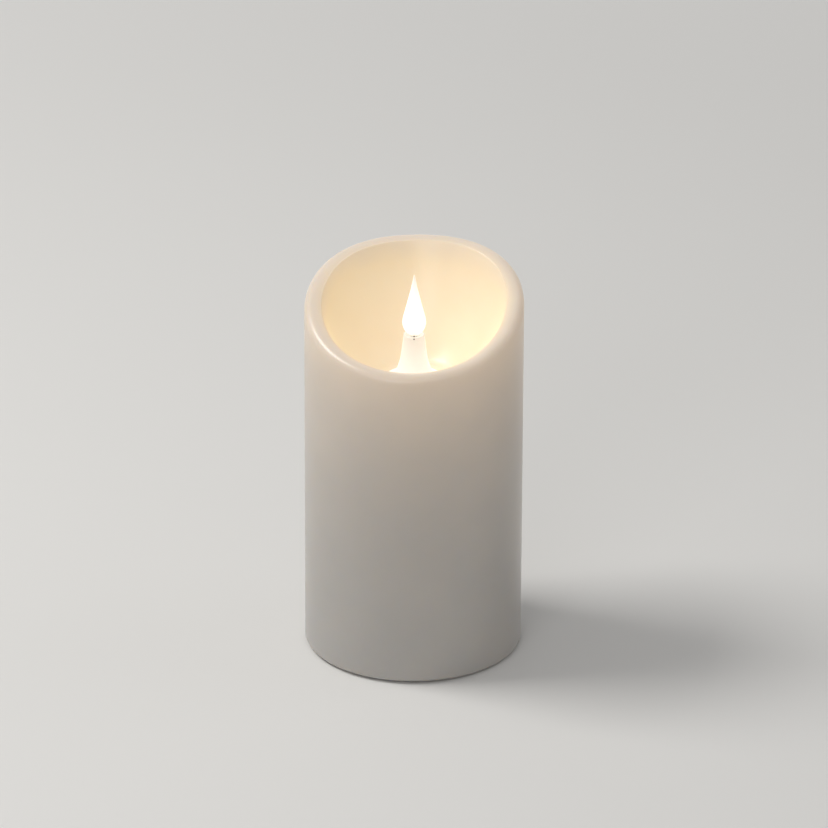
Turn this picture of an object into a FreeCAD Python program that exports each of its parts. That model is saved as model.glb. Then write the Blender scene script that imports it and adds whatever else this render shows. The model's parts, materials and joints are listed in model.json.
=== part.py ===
"""Flameless LED pillar candle: a real-wax shell round a moulded core, with a swinging flame.

The candle stands on +Z with its origin on the table, on the candle's axis. -Y is the front, where the
melted rim dips lowest. Millimetres throughout. The driving sizes live in the spreadsheet "Sizes", and
every sub-part is bound to them.
"""
import FreeCAD
import Part
import Sketcher
import math
import os

from FreeCAD import Placement, Rotation, Vector

DOC = FreeCAD.newDocument("LedCandle")
X_AXIS = Vector(1, 0, 0)
Y_AXIS = Vector(0, 1, 0)
Z_AXIS = Vector(0, 0, 1)

DRIVING_SIZES = {
    "wax": {
        "candle_dia": 100, "candle_height": 183.4, "wax_lift": 0.8, "wax_wall": 6.8, "foot_round": 2,
        "lip_round": 3.8, "rim_dip": 29.4, "rim_lean": 1.6, "rim_ripple": 0.5, "bowl_depth": 52.4,
        "bowl_flat_dia": 34, "wax_floor": 8.4,
    },
    "core cover": {
        "core_gap": 0.3, "core_wall": 1.8, "core_top": 4, "core_top_gap": 0.6, "boss_dia": 6.8,
        "boss_height": 14, "boss_inset": 3.1, "core_screw_dia": 3, "pilot_gap": 0.1,
    },
    "base": {
        "plate_inset": 4, "plate_thick": 3, "plate_height": 1.6, "ring_wall": 1.4, "ring_height": 5,
        "screw_head_dia": 5.6, "screw_head_height": 1.6, "head_gap": 0.4, "foot_dia": 10,
        "foot_recess": 0.6, "foot_inset": 8,
    },
    "cells": {
        "cell_dia": 26.2, "cell_length": 50, "cell_nub_dia": 7, "cell_nub": 1.5, "cell_gap": 2.2,
        "chamber_gap": 0.8, "chamber_wall": 1.8, "chamber_ceiling": 2, "spring_length": 5,
        "spring_dia": 10, "spring_tip_dia": 7.2, "spring_wire": 0.8, "spring_turns": 3,
        "contact_thick": 0.4,
        "contact_width": 9, "lug_width": 3, "lug_height": 5,
    },
    "door": {
        "hinge_offset": 3.6, "door_overhang": 8.3, "door_side_lap": 0.2, "door_gap": 0.3,
        "door_corner": 8, "barrel_half_length": 11.6, "hinge_relief": 2.9, "hinge_pin_dia": 1.7,
        "hinge_pin_length": 3, "hinge_gap": 0.08, "door_screw_inset": 4, "door_screw_dia": 2.4,
        "door_screw_gap": 0.25, "door_screw_reach": 3.4, "bridge_height": 5, "bridge_gap": 0.6,
    },
    "switch": {
        "switch_offset": 11.8, "switch_length": 12.6, "switch_width": 6.4, "switch_height": 5,
        "lever_length": 4, "lever_width": 3, "lever_recess": 0.6, "switch_travel": 4,
        "slide_gap": 0.25, "switch_post": 9, "switch_board_length": 23, "switch_board_width": 9,
        "switch_board_thick": 1.2, "small_screw_dia": 2,
    },
    "main board": {
        "board_length": 50, "board_width": 28, "board_thick": 1.6, "board_post": 10,
        "board_post_place": 21, "board_post_dia": 6,
    },
    "flame drive": {
        "carrier_margin": 3.5, "carrier_thick": 3.4, "carrier_screw_offset": 2.9, "well_wall": 1,
        "well_floor": 1.4, "bobbin_dia": 11.2, "bobbin_height": 12, "bobbin_flange": 1,
        "bobbin_hub_dia": 5.2, "winding_dia": 10.4, "pin_dia": 4, "pin_rise": 3.5, "coil_gap": 0.2,
    },
    "lamps": {
        "lamp_dia": 5, "lamp_length": 8.6, "lamp_flange_dia": 5.8, "lamp_flange": 1, "lamp_offset": 3.2,
        "lamp_drop": 2, "lamp_tilt": 15, "lamp_gap": 0.1, "lead_pitch": 2.54, "lead_thick": 0.5,
        "lead_length": 9,
    },
    "flame": {
        "pivot_rise": 22, "pivot_wire_dia": 0.6, "pivot_gap": 0.08, "pivot_overhang": 0.3,
        "collar_dia": 9.6, "collar_wall": 1, "collar_rise": 0.5, "collar_margin": 3.2,
        "collar_skirt_dia": 25.2, "collar_fit": 0.3, "collar_edge": 0.3, "flame_dia": 10.7,
        "flame_height": 29.1, "flame_gap": 0.6, "flame_wall": 0.6, "tail_width": 3.2,
        "tail_thick": 1.6, "magnet_gap": 3.6, "plug_thick": 1, "magnet_dia": 6,
        "magnet_height": 3,
    },
    "leads": {"lead_dia": 1.2},
}


class Size:
    """A number together with the sheet expression that it comes from, so that sums stay bound."""

    def __init__(self, value, text=None):
        self.value = float(value)
        self.text = text or repr(float(value))

    def _join(self, other, sign, value):
        return Size(value, f"({self.text} {sign} {other.text})")

    def __add__(self, other):
        other = as_size(other)
        return self._join(other, "+", self.value + other.value)

    def __sub__(self, other):
        other = as_size(other)
        return self._join(other, "-", self.value - other.value)

    def __mul__(self, other):
        other = as_size(other)
        return self._join(other, "*", self.value * other.value)

    def __truediv__(self, other):
        other = as_size(other)
        return self._join(other, "/", self.value / other.value)

    def __neg__(self):
        return Size(-self.value, f"(-1 * {self.text})")

    def __radd__(self, other):
        return as_size(other) + self

    def __rsub__(self, other):
        return as_size(other) - self

    def __float__(self):
        return self.value


def as_size(number):
    """A Size as it is, or a plain number made into one."""
    return number if isinstance(number, Size) else Size(number)


def fill_sheet():
    """Writes the driving sizes into the spreadsheet and returns them as bound Sizes by alias."""
    sheet = DOC.addObject("Spreadsheet::Sheet", "Sizes")
    found = {}
    row = 1
    for group, sizes in DRIVING_SIZES.items():
        sheet.set(f"A{row}", group)
        row += 1
        for alias, value in sizes.items():
            sheet.set(f"A{row}", alias)
            sheet.set(f"B{row}", str(value))
            sheet.setAlias(f"B{row}", alias)
            found[alias] = Size(value, f"Sizes.{alias}")
            row += 1
    DOC.recompute()
    return found


S = fill_sheet()


# --- Levels and radii that several sub-parts share -------------------------------------------------

WAX_RADIUS = S["candle_dia"] / 2
CAVITY_RADIUS = WAX_RADIUS - S["wax_wall"]
BOWL_FLOOR = S["candle_height"] - S["bowl_depth"]
CAVITY_TOP = BOWL_FLOOR - S["wax_floor"]
CORE_RADIUS = CAVITY_RADIUS - S["core_gap"]
CORE_BORE = CORE_RADIUS - S["core_wall"]
CORE_TOP = CAVITY_TOP - S["core_top_gap"]
CORE_CEILING = CORE_TOP - S["core_top"]
PLATE_RADIUS = WAX_RADIUS - S["plate_inset"]
BOSS_CIRCLE = (CORE_BORE - S["boss_inset"]) * 2
FOOT_CIRCLE = (PLATE_RADIUS - S["foot_inset"]) * 2
PLATE_BOTTOM = S["plate_height"]
PLATE_TOP = S["plate_height"] + S["plate_thick"]
HINGE_HEIGHT = S["plate_height"] + S["plate_thick"] / 2
BARREL_RADIUS = S["plate_thick"] / 2
CELL_RADIUS = S["cell_dia"] / 2
CELL_PITCH = S["cell_dia"] + S["cell_gap"]
CELL_PLACE = CELL_PITCH / 2
CHAMBER_RADIUS = CELL_RADIUS + S["chamber_gap"]
CHAMBER_END = CELL_PLACE + CHAMBER_RADIUS + S["chamber_wall"]
DOOR_HINGE = CHAMBER_END + S["hinge_offset"]
DOOR_END = CHAMBER_END + S["door_overhang"]
DOOR_HALF_WIDTH = CHAMBER_RADIUS + S["door_side_lap"]
DOOR_SCREW = DOOR_END - S["door_screw_inset"]
SWITCH_PLACE = CHAMBER_RADIUS + S["chamber_wall"] + S["switch_offset"]
LOWER_CONTACT = PLATE_TOP + S["contact_thick"]
UPPER_CONTACT = LOWER_CONTACT + S["spring_length"] + S["cell_length"]
CHAMBER_CEILING = UPPER_CONTACT + S["contact_thick"]
CHAMBER_TOP = CHAMBER_CEILING + S["chamber_ceiling"]
BOARD_BOTTOM = CHAMBER_TOP + S["board_post"]
BOARD_TOP = BOARD_BOTTOM + S["board_thick"]
SWITCH_BOTTOM = PLATE_TOP + S["slide_gap"]
SWITCH_TOP = SWITCH_BOTTOM + S["switch_height"]
CARRIER_BOTTOM = CORE_CEILING - S["carrier_thick"]
BOBBIN_RADIUS = S["bobbin_dia"] / 2
WELL_RADIUS = BOBBIN_RADIUS + S["coil_gap"]
LAMP_PLACE = WELL_RADIUS + S["well_wall"] + S["lamp_offset"]
BOBBIN_TOP = CARRIER_BOTTOM - S["bobbin_flange"]
BOBBIN_BOTTOM = BOBBIN_TOP - S["bobbin_height"]
WELL_BOTTOM = BOBBIN_BOTTOM - S["well_floor"]
SKIRT_RADIUS = S["collar_skirt_dia"] / 2
CARRIER_SCREW = SKIRT_RADIUS + S["carrier_screw_offset"]
COLLAR_FOOT_RADIUS = S["bowl_flat_dia"] / 2 - S["collar_margin"]
PIVOT_HEIGHT = BOWL_FLOOR + S["pivot_rise"]
COLLAR_RADIUS = S["collar_dia"] / 2
COLLAR_TOP = PIVOT_HEIGHT + S["collar_rise"]
FLAME_BOTTOM = PIVOT_HEIGHT + S["flame_gap"]
FLAME_TIP = FLAME_BOTTOM + S["flame_height"]
FLAME_RADIUS = S["flame_dia"] / 2
TAIL_BOTTOM = BOBBIN_TOP + S["pin_rise"] + S["magnet_gap"] + S["magnet_height"]
NOTHING = Size(0)


# --- Helpers for document objects -------------------------------------------------------------------


def bind(thing, **sizes):
    """Binds properties to sizes. A name with two underscores reaches inside, as Placement__Base__x."""
    for name, wanted in sizes.items():
        thing.setExpression(name.replace("__", "."), as_size(wanted).text)
    return thing


def place(thing, x=NOTHING, y=NOTHING, z=NOTHING):
    """Binds an object's position."""
    return bind(thing, Placement__Base__x=x, Placement__Base__y=y, Placement__Base__z=z)


def named(thing, label):
    """Gives an object the label that its node is written under."""
    thing.Label = label
    return thing


def cylinder(name, radius, height, x=NOTHING, y=NOTHING, z=NOTHING):
    """An upright cylinder that stands at a point."""
    made = DOC.addObject("Part::Cylinder", name)
    return place(bind(made, Radius=radius, Height=height), x, y, z)


def lying_cylinder(name, radius, length, x=NOTHING, y=NOTHING, z=NOTHING):
    """A cylinder along Y whose middle is at a point."""
    made = DOC.addObject("Part::Cylinder", name)
    bind(made, Radius=radius, Height=length)
    made.Placement = Placement(Vector(), Rotation(X_AXIS, -90))
    return place(made, x, y - as_size(length) / 2, z)


def block(name, length, width, height, x=NOTHING, y=NOTHING, z=NOTHING):
    """A box centred on a point in X and Y, and standing at its height."""
    made = DOC.addObject("Part::Box", name)
    bind(made, Length=length, Width=width, Height=height)
    return place(made, x - as_size(length) / 2, y - as_size(width) / 2, z)


def fuse(name, shapes):
    """The union of several objects."""
    made = DOC.addObject("Part::MultiFuse", name)
    made.Shapes = shapes
    made.Refine = True
    return made


def cut(name, base, tools):
    """An object with others taken away from it."""
    tool = tools[0] if len(tools) == 1 else fuse(name + "_tools", tools)
    made = DOC.addObject("Part::Cut", name)
    made.Base = base
    made.Tool = tool
    return made


def group(label, shapes):
    """Several separate solids that share one node."""
    made = DOC.addObject("Part::Compound", label)
    made.Links = shapes
    return named(made, label)


def ring_places(circle_dia, angles):
    """Bound (x, y) places on a circle, at angles in degrees from +X."""
    radius = circle_dia / 2
    return [
        (radius * math.cos(math.radians(a)), radius * math.sin(math.radians(a))) for a in angles
    ]


class Moulding:
    """A PartDesign body that is padded and pocketed from bound sketches on level planes."""

    def __init__(self, label):
        self.body = DOC.addObject("PartDesign::Body", label)
        named(self.body, label)

    def origin_plane(self, role):
        """One of the body's own origin planes."""
        return next(f for f in self.body.Origin.OriginFeatures if f.Role == role)

    def sketch(self, name, level=NOTHING, role="XY_Plane"):
        """An empty sketch on an origin plane, raised by a bound distance along the plane's normal."""
        made = self.body.newObject("Sketcher::SketchObject", name)
        made.AttachmentSupport = [(self.origin_plane(role), "")]
        made.MapMode = "FlatFace"
        made.setExpression(".AttachmentOffset.Base.z", as_size(level).text)
        return made

    def _feature(self, kind, sketch, length, name, upwards):
        made = self.body.newObject("PartDesign::" + kind, name)
        made.Profile = sketch
        bind(made, Length=length)
        made.Reversed = upwards if kind == "Pocket" else not upwards
        sketch.Visibility = False
        DOC.recompute()
        return made

    def pad(self, sketch, height, upwards=True):
        """Adds material from a sketch, over a height."""
        return self._feature("Pad", sketch, height, sketch.Name + "_pad", upwards)

    def pocket(self, sketch, depth, upwards=True):
        """Takes material away from a sketch, over a depth, and checks that it cut something."""
        before = self.body.Shape.Volume
        made = self._feature("Pocket", sketch, depth, sketch.Name + "_pocket", upwards)
        if self.body.Shape.Volume > before - 1e-3:
            raise RuntimeError(f"{made.Name} cut nothing")
        return made

    def revolve(self, sketch):
        """Adds a full turn of a sketch on the XZ plane about the vertical axis."""
        made = self.body.newObject("PartDesign::Revolution", sketch.Name + "_turn")
        made.Profile = sketch
        made.ReferenceAxis = (sketch, ["V_Axis"])
        made.Angle = 360
        DOC.recompute()
        return made


def pin_point(sketch, geometry, point, x, y):
    """Fixes a sketch point at bound coordinates."""
    for kind, other_axis, wanted in (("DistanceX", -2, as_size(x)), ("DistanceY", -1, as_size(y))):
        if wanted.value == 0:
            sketch.addConstraint(Sketcher.Constraint("PointOnObject", geometry, point, other_axis))
        else:
            i = sketch.addConstraint(
                Sketcher.Constraint(kind, -1, 1, geometry, point, wanted.value)
            )
            sketch.setExpression(f"Constraints[{i}]", wanted.text)


def draw_circle(sketch, radius, x=NOTHING, y=NOTHING):
    """A bound circle."""
    radius, x, y = as_size(radius), as_size(x), as_size(y)
    g = sketch.addGeometry(Part.Circle(Vector(x.value, y.value, 0), Z_AXIS, radius.value), False)
    pin_point(sketch, g, 3, x, y)
    i = sketch.addConstraint(Sketcher.Constraint("Radius", g, radius.value))
    sketch.setExpression(f"Constraints[{i}]", radius.text)


def draw_polygon(sketch, corners):
    """A closed outline of straight lines between bound corners."""
    points = [(as_size(x), as_size(y)) for x, y in corners]
    places = [Vector(x.value, y.value, 0) for x, y in points]
    lines = [
        sketch.addGeometry(Part.LineSegment(a, b), False)
        for a, b in zip(places, places[1:] + places[:1])
    ]
    for line, following in zip(lines, lines[1:] + lines[:1]):
        sketch.addConstraint(Sketcher.Constraint("Coincident", line, 2, following, 1))
    for line, (x, y) in zip(lines, points):
        pin_point(sketch, line, 1, x, y)


def draw_rectangle(sketch, left, right, front, back):
    """A bound rectangle."""
    draw_polygon(sketch, [(left, front), (right, front), (right, back), (left, back)])


def draw_rounded(sketch, left, right, front, back, radius):
    """A bound rectangle with four round corners: each arc's centre and radius are fixed."""
    left, right, front, back, radius = (as_size(v) for v in (left, right, front, back, radius))
    centres = [
        (right - radius, back - radius, 0), (left + radius, back - radius, 90),
        (left + radius, front + radius, 180), (right - radius, front + radius, 270),
    ]
    arcs = []
    for x, y, start in centres:
        circle = Part.Circle(Vector(x.value, y.value, 0), Z_AXIS, radius.value)
        arc = Part.ArcOfCircle(circle, math.radians(start), math.radians(start + 90))
        g = sketch.addGeometry(arc, False)
        arcs.append(g)
        pin_point(sketch, g, 3, x, y)
        i = sketch.addConstraint(Sketcher.Constraint("Radius", g, radius.value))
        sketch.setExpression(f"Constraints[{i}]", radius.text)
        first, last = ("Horizontal", "Vertical") if start % 180 == 0 else ("Vertical", "Horizontal")
        sketch.addConstraint(Sketcher.Constraint(first, g, 1, g, 3))
        sketch.addConstraint(Sketcher.Constraint(last, g, 2, g, 3))
    for arc, following in zip(arcs, arcs[1:] + arcs[:1]):
        ends = [sketch.getPoint(arc, 2), sketch.getPoint(following, 1)]
        line = sketch.addGeometry(Part.LineSegment(*ends), False)
        sketch.addConstraint(Sketcher.Constraint("Coincident", arc, 2, line, 1))
        sketch.addConstraint(Sketcher.Constraint("Coincident", line, 2, following, 1))


def draw_slot(sketch, half_pitch, radius):
    """A bound slot along X: two half circles joined by tangents."""
    half_pitch, radius = as_size(half_pitch), as_size(radius)
    arcs = []
    for side, start in ((1, -90), (-1, 90)):
        circle = Part.Circle(Vector(side * half_pitch.value, 0, 0), Z_AXIS, radius.value)
        arc = Part.ArcOfCircle(circle, math.radians(start), math.radians(start + 180))
        g = sketch.addGeometry(arc, False)
        arcs.append(g)
        pin_point(sketch, g, 3, half_pitch if side > 0 else -half_pitch, NOTHING)
        i = sketch.addConstraint(Sketcher.Constraint("Radius", g, radius.value))
        sketch.setExpression(f"Constraints[{i}]", radius.text)
        sketch.addConstraint(Sketcher.Constraint("Vertical", g, 1, g, 3))
        sketch.addConstraint(Sketcher.Constraint("Vertical", g, 2, g, 3))
    for arc, following in zip(arcs, arcs[1:] + arcs[:1]):
        ends = [sketch.getPoint(arc, 2), sketch.getPoint(following, 1)]
        line = sketch.addGeometry(Part.LineSegment(*ends), False)
        sketch.addConstraint(Sketcher.Constraint("Coincident", arc, 2, line, 1))
        sketch.addConstraint(Sketcher.Constraint("Coincident", line, 2, following, 1))


def shaped(label, shape):
    """A Part::Feature that holds a shape made with Part's own functions."""
    made = DOC.addObject("Part::Feature", label)
    made.Shape = shape
    return named(made, label)


# --- Wax -------------------------------------------------------------------------------------------

RIM_POINTS = 48
DIP_SHARPNESS = 1.3
RIPPLE_WAVES = 3
RIPPLE_PHASE = 20
LIP_SPREAD = 1.5


def rim_height(turn):
    """The rim's crest at a turn in degrees from the front: high at the back, low at the front.

    The dip is a raised cosine to a power. A lean lowers the left side, and a faint ripple breaks the
    line up as melted wax does.
    """
    t = math.radians(turn)
    dip = S["rim_dip"].value * ((1 + math.cos(t)) / 2) ** DIP_SHARPNESS
    lean = S["rim_lean"].value * math.sin(t)
    ripple = S["rim_ripple"].value * math.cos(math.radians(RIPPLE_WAVES * turn + RIPPLE_PHASE))
    highest = S["candle_height"].value - S["rim_ripple"].value
    return highest - dip + lean + ripple


def closed_curve(radius, height_at):
    """A closed smooth curve of one radius, whose height is a function of the turn from the front."""
    points = []
    for i in range(RIM_POINTS):
        turn = 360 * i / RIM_POINTS
        t = math.radians(turn)
        points.append(Vector(radius * math.sin(t), -radius * math.cos(t), height_at(turn)))
    curve = Part.BSplineCurve()
    curve.interpolate(points, PeriodicFlag=True)
    return Part.Wire(curve.toShape())


def level_curve(radius, height):
    """A closed curve at one height, with the same spacing as the rim's curves."""
    return closed_curve(radius, lambda turn: height)


def lip_sections():
    """Curves over the lip: a quarter circle outside the crest, and a wider roll inside it."""
    outer = WAX_RADIUS.value
    lip = S["lip_round"].value
    sections = []
    for swing in (0, 25, 50, 75, 100, 125):
        a = math.radians(swing)
        reach = lip if swing < 90 else lip * LIP_SPREAD
        radius = outer - lip + reach * math.cos(a)
        drop = lip * (1 - math.sin(a))
        sections.append(closed_curve(radius, lambda turn, drop=drop: rim_height(turn) - drop))
    return sections


def bowl_sections():
    """Curves down the bowl: its slope is steep under the lip and eases to the flat floor."""
    outer = WAX_RADIUS.value
    lip = S["lip_round"].value
    flat = S["bowl_flat_dia"].value / 2
    floor = BOWL_FLOOR.value
    top_radius = outer - 2.2 * lip
    sections = []
    for share in (1.0, 0.86, 0.7, 0.53, 0.35, 0.17, 0.06):
        radius = flat + (top_radius - flat) * share

        def height(turn, share=share):
            return floor + (rim_height(turn) - 0.55 * lip - floor) * share**1.7

        sections.append(closed_curve(radius, height))
    return sections


def wax_blank():
    """The outside of the wax as one solid: round foot, upright wall, wavy lip and bowl."""
    outer = WAX_RADIUS.value
    foot = S["foot_round"].value
    bottom = S["wax_lift"].value
    foot_curves = []
    for swing in (0, 30, 60, 90):
        a = math.radians(swing)
        foot_curves.append(
            level_curve(outer - foot + foot * math.sin(a), bottom + foot * (1 - math.cos(a)))
        )
    lip = lip_sections()
    floor = level_curve(S["bowl_flat_dia"].value / 2, BOWL_FLOOR.value)
    bowl = bowl_sections() + [floor]
    skins = [
        Part.makeLoft(foot_curves, False, False),
        Part.makeLoft([foot_curves[-1], lip[0]], False, True),
        Part.makeLoft(lip + bowl, False, False),
        Part.Face(foot_curves[0]),
        Part.Face(floor),
    ]
    shell = Part.Shell([face for skin in skins for face in skin.Faces])
    shell.sewShape(1e-3)
    solid = Part.Solid(Part.Shell(shell.Faces))
    if solid.Volume < 0:
        solid.reverse()
    return solid


def make_wax_shell():
    """The wax pillar: its blank less the core's cavity, the base plate's seat and the flame's hole."""
    blank = shaped("wax_blank", wax_blank())
    cavity = cylinder("wax_cavity", CAVITY_RADIUS, CAVITY_TOP)
    seat = cylinder("wax_seat", PLATE_RADIUS + S["core_gap"], PLATE_TOP)
    hole = cylinder("wax_hole", SKIRT_RADIUS + S["collar_fit"], BOWL_FLOOR + 1)
    return named(cut("wax_cut", blank, [cavity, seat, hole]), "wax_shell")


# --- Core cover and base ----------------------------------------------------------------------------

CORE_SCREW_ANGLES = (90, 210, 330)
FOOT_ANGLES = (45, 135, 225, 315)


def make_core_cover():
    """The tall moulded cup inside the wax, with screw bosses at its mouth and a hole for the collar."""
    cup = Moulding("core_cover")
    wall = cup.sketch("cover_outline", PLATE_TOP)
    draw_circle(wall, CORE_RADIUS)
    cup.pad(wall, CORE_TOP - PLATE_TOP)
    bore = cup.sketch("cover_bore", PLATE_TOP)
    draw_circle(bore, CORE_BORE)
    cup.pocket(bore, CORE_CEILING - PLATE_TOP)
    bosses = cup.sketch("cover_bosses", PLATE_TOP)
    for x, y in ring_places(BOSS_CIRCLE, CORE_SCREW_ANGLES):
        draw_circle(bosses, S["boss_dia"] / 2, x, y)
    cup.pad(bosses, S["boss_height"])
    pilots = cup.sketch("cover_pilots", PLATE_TOP)
    for x, y in ring_places(BOSS_CIRCLE, CORE_SCREW_ANGLES):
        draw_circle(pilots, S["core_screw_dia"] / 2 + S["pilot_gap"], x, y)
    cup.pocket(pilots, S["boss_height"] - 1)
    mouth = cup.sketch("cover_mouth", CORE_CEILING)
    draw_circle(mouth, SKIRT_RADIUS + S["collar_fit"])
    cup.pocket(mouth, S["core_top"])
    carrier_pilots = cup.sketch("carrier_pilots", CORE_CEILING)
    for side in (-1, 1):
        draw_circle(
            carrier_pilots, S["small_screw_dia"] / 2 + S["pilot_gap"], CARRIER_SCREW * side
        )
    cup.pocket(carrier_pilots, S["core_top"] - 1)
    return cup.body


def make_base_housing():
    """The base plate with its cell chamber, board posts, door opening and switch slot."""
    base = Moulding("base_housing")
    disc = base.sketch("plate_outline", PLATE_BOTTOM)
    draw_circle(disc, PLATE_RADIUS)
    base.pad(disc, S["plate_thick"])

    ring = base.sketch("locating_ring", PLATE_TOP)
    draw_circle(ring, CORE_BORE - S["core_gap"])
    draw_circle(ring, CORE_BORE - S["core_gap"] - S["ring_wall"])
    base.pad(ring, S["ring_height"])
    notches = base.sketch("boss_notches", PLATE_TOP)
    for x, y in ring_places(BOSS_CIRCLE, CORE_SCREW_ANGLES):
        draw_circle(notches, S["boss_dia"] / 2 + S["head_gap"], x, y)
    base.pocket(notches, S["ring_height"])

    chamber = base.sketch("chamber_outline", PLATE_TOP)
    draw_slot(chamber, CELL_PLACE, CHAMBER_RADIUS + S["chamber_wall"])
    base.pad(chamber, CHAMBER_TOP - PLATE_TOP)
    bridge = base.sketch("screw_bridge", PLATE_TOP)
    chamber_end = CELL_PLACE + CHAMBER_RADIUS + S["chamber_wall"] / 2
    draw_rectangle(bridge, chamber_end, CORE_BORE - S["bridge_gap"], -4.5, 4.5)
    base.pad(bridge, S["bridge_height"])
    posts = base.sketch("board_posts", CHAMBER_TOP)
    for side in (-1, 1):
        draw_circle(posts, S["board_post_dia"] / 2, S["board_post_place"] * side)
    base.pad(posts, S["board_post"])
    switch_posts = base.sketch("switch_posts", PLATE_TOP)
    for side in (-1, 1):
        draw_circle(switch_posts, S["small_screw_dia"], S["switch_post"] * side, -SWITCH_PLACE)
    base.pad(switch_posts, SWITCH_TOP - PLATE_TOP)

    cells = base.sketch("chamber_bore", PLATE_TOP)
    draw_slot(cells, CELL_PLACE, CHAMBER_RADIUS)
    base.pocket(cells, CHAMBER_CEILING - PLATE_TOP)
    opening = base.sketch("door_opening", PLATE_BOTTOM)
    edge = DOOR_HALF_WIDTH + S["door_gap"]
    draw_rounded(
        opening, S["hinge_relief"] - DOOR_HINGE - S["door_gap"] * 2.5,
        DOOR_END + S["door_gap"], -edge, edge, S["door_corner"] + S["door_gap"],
    )
    base.pocket(opening, S["plate_thick"])
    hinge_notch = base.sketch("hinge_notch", PLATE_BOTTOM)
    half = S["barrel_half_length"] + S["door_gap"]
    draw_rectangle(
        hinge_notch, -DOOR_HINGE - BARREL_RADIUS - S["door_gap"],
        S["door_corner"] * 1.5 - DOOR_HINGE, -half, half,
    )
    base.pocket(hinge_notch, S["plate_thick"])

    pins = base.sketch("hinge_holes", NOTHING, "XZ_Plane")
    draw_circle(pins, S["hinge_pin_dia"] / 2 + S["hinge_gap"], -DOOR_HINGE, HINGE_HEIGHT)
    holes = base.pocket(pins, (S["barrel_half_length"] + S["hinge_pin_length"] + 0.5) * 2)
    holes.Midplane = True

    bores = base.sketch("screw_bores", PLATE_BOTTOM)
    heads = base.sketch("screw_heads", PLATE_BOTTOM)
    for x, y in ring_places(BOSS_CIRCLE, CORE_SCREW_ANGLES):
        draw_circle(bores, S["core_screw_dia"] / 2 + S["head_gap"] / 2, x, y)
        draw_circle(heads, S["screw_head_dia"] / 2 + S["head_gap"], x, y)
    base.pocket(bores, S["plate_thick"])
    base.pocket(heads, S["screw_head_height"] + S["pilot_gap"])

    feet = base.sketch("foot_seats", PLATE_BOTTOM)
    for x, y in ring_places(FOOT_CIRCLE, FOOT_ANGLES):
        draw_circle(feet, S["foot_dia"] / 2 + S["pilot_gap"], x, y)
    base.pocket(feet, S["foot_recess"])

    thumb = base.sketch("switch_recess", PLATE_BOTTOM)
    centre = -SWITCH_PLACE
    draw_rounded(thumb, -7.5, 7.5, centre - 4, centre + 4, 3.2)
    base.pocket(thumb, S["lever_recess"])
    slot = base.sketch("switch_slot", PLATE_BOTTOM)
    reach = S["lever_length"] / 2 + S["switch_travel"] / 2 + S["slide_gap"]
    width = S["lever_width"] / 2 + S["slide_gap"]
    draw_rectangle(slot, -reach, reach, centre - width, centre + width)
    base.pocket(slot, S["plate_thick"])
    switch_pilots = base.sketch("switch_pilots", SWITCH_TOP)
    for side in (-1, 1):
        draw_circle(
            switch_pilots, S["small_screw_dia"] / 2 + S["pilot_gap"], S["switch_post"] * side, centre
        )
    base.pocket(switch_pilots, S["switch_height"] - 1, upwards=False)

    door_pilot = base.sketch("door_pilot", PLATE_TOP)
    draw_circle(door_pilot, S["door_screw_dia"] / 2 + S["door_screw_gap"], DOOR_SCREW)
    base.pocket(door_pilot, S["bridge_height"] - 1)
    post_pilots = base.sketch("post_pilots", BOARD_BOTTOM)
    for side in (-1, 1):
        draw_circle(
            post_pilots, S["small_screw_dia"] / 2 + S["pilot_gap"], S["board_post_place"] * side
        )
    base.pocket(post_pilots, S["board_post"] - 1, upwards=False)
    lug_slots = base.sketch("lug_slots", CHAMBER_CEILING)
    for side in (-1, 1):
        middle = CELL_PLACE * side
        reach = S["lug_width"] / 2 + S["slide_gap"]
        back = S["contact_width"] / 2 + S["contact_thick"] + S["slide_gap"]
        front = S["contact_width"] / 2 - S["slide_gap"]
        draw_rectangle(lug_slots, middle - reach, middle + reach, front, back)
    base.pocket(lug_slots, S["chamber_ceiling"])
    return base.body


def make_feet():
    """Four rubber feet in the base plate's seats, each a node of its own."""
    height = S["plate_height"] + S["foot_recess"]
    made = []
    for i, (x, y) in enumerate(ring_places(FOOT_CIRCLE, FOOT_ANGLES), start=1):
        pad = cylinder(f"foot_pad_{i}", S["foot_dia"] / 2, height, x, y)
        edge = DOC.addObject("Part::Chamfer", f"foot_edge_{i}")
        edge.Base = pad
        DOC.recompute()
        lowest = min(range(len(pad.Shape.Edges)), key=lambda k: rim_score(pad.Shape.Edges[k]))
        edge.Edges = [(lowest + 1, 0.5, 0.5)]
        made.append(named(edge, f"rubber_foot_{i}"))
    return made


def rim_score(edge):
    """Orders a foot's edges: its lower circle comes first, and the seam last."""
    closed = edge.Vertexes[0].Point.distanceToPoint(edge.Vertexes[-1].Point) < 1e-6
    return edge.BoundBox.ZMin + (0 if closed else 1000)


def screw(name, dia, head_dia, head_height, length, x, y, seat, upwards=True):
    """A screw whose head's underside is at the seat level and whose plain shank goes up or down."""
    if upwards:
        head = cylinder(name + "_head", head_dia / 2, head_height, x, y, seat - head_height)
        shank = cylinder(name + "_shank", dia / 2, length, x, y, seat)
        drive_level = seat - head_height
    else:
        head = cylinder(name + "_head", head_dia / 2, head_height, x, y, seat)
        shank = cylinder(name + "_shank", dia / 2, length, x, y, seat - length)
        drive_level = seat + head_height / 2
    whole = fuse(name + "_blank", [head, shank])
    slots = [
        block(name + "_drive_a", head_dia * 0.62, dia / 4, head_height / 2, x, y, drive_level),
        block(name + "_drive_b", dia / 4, head_dia * 0.62, head_height / 2, x, y, drive_level),
    ]
    return cut(name, whole, slots)


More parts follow.
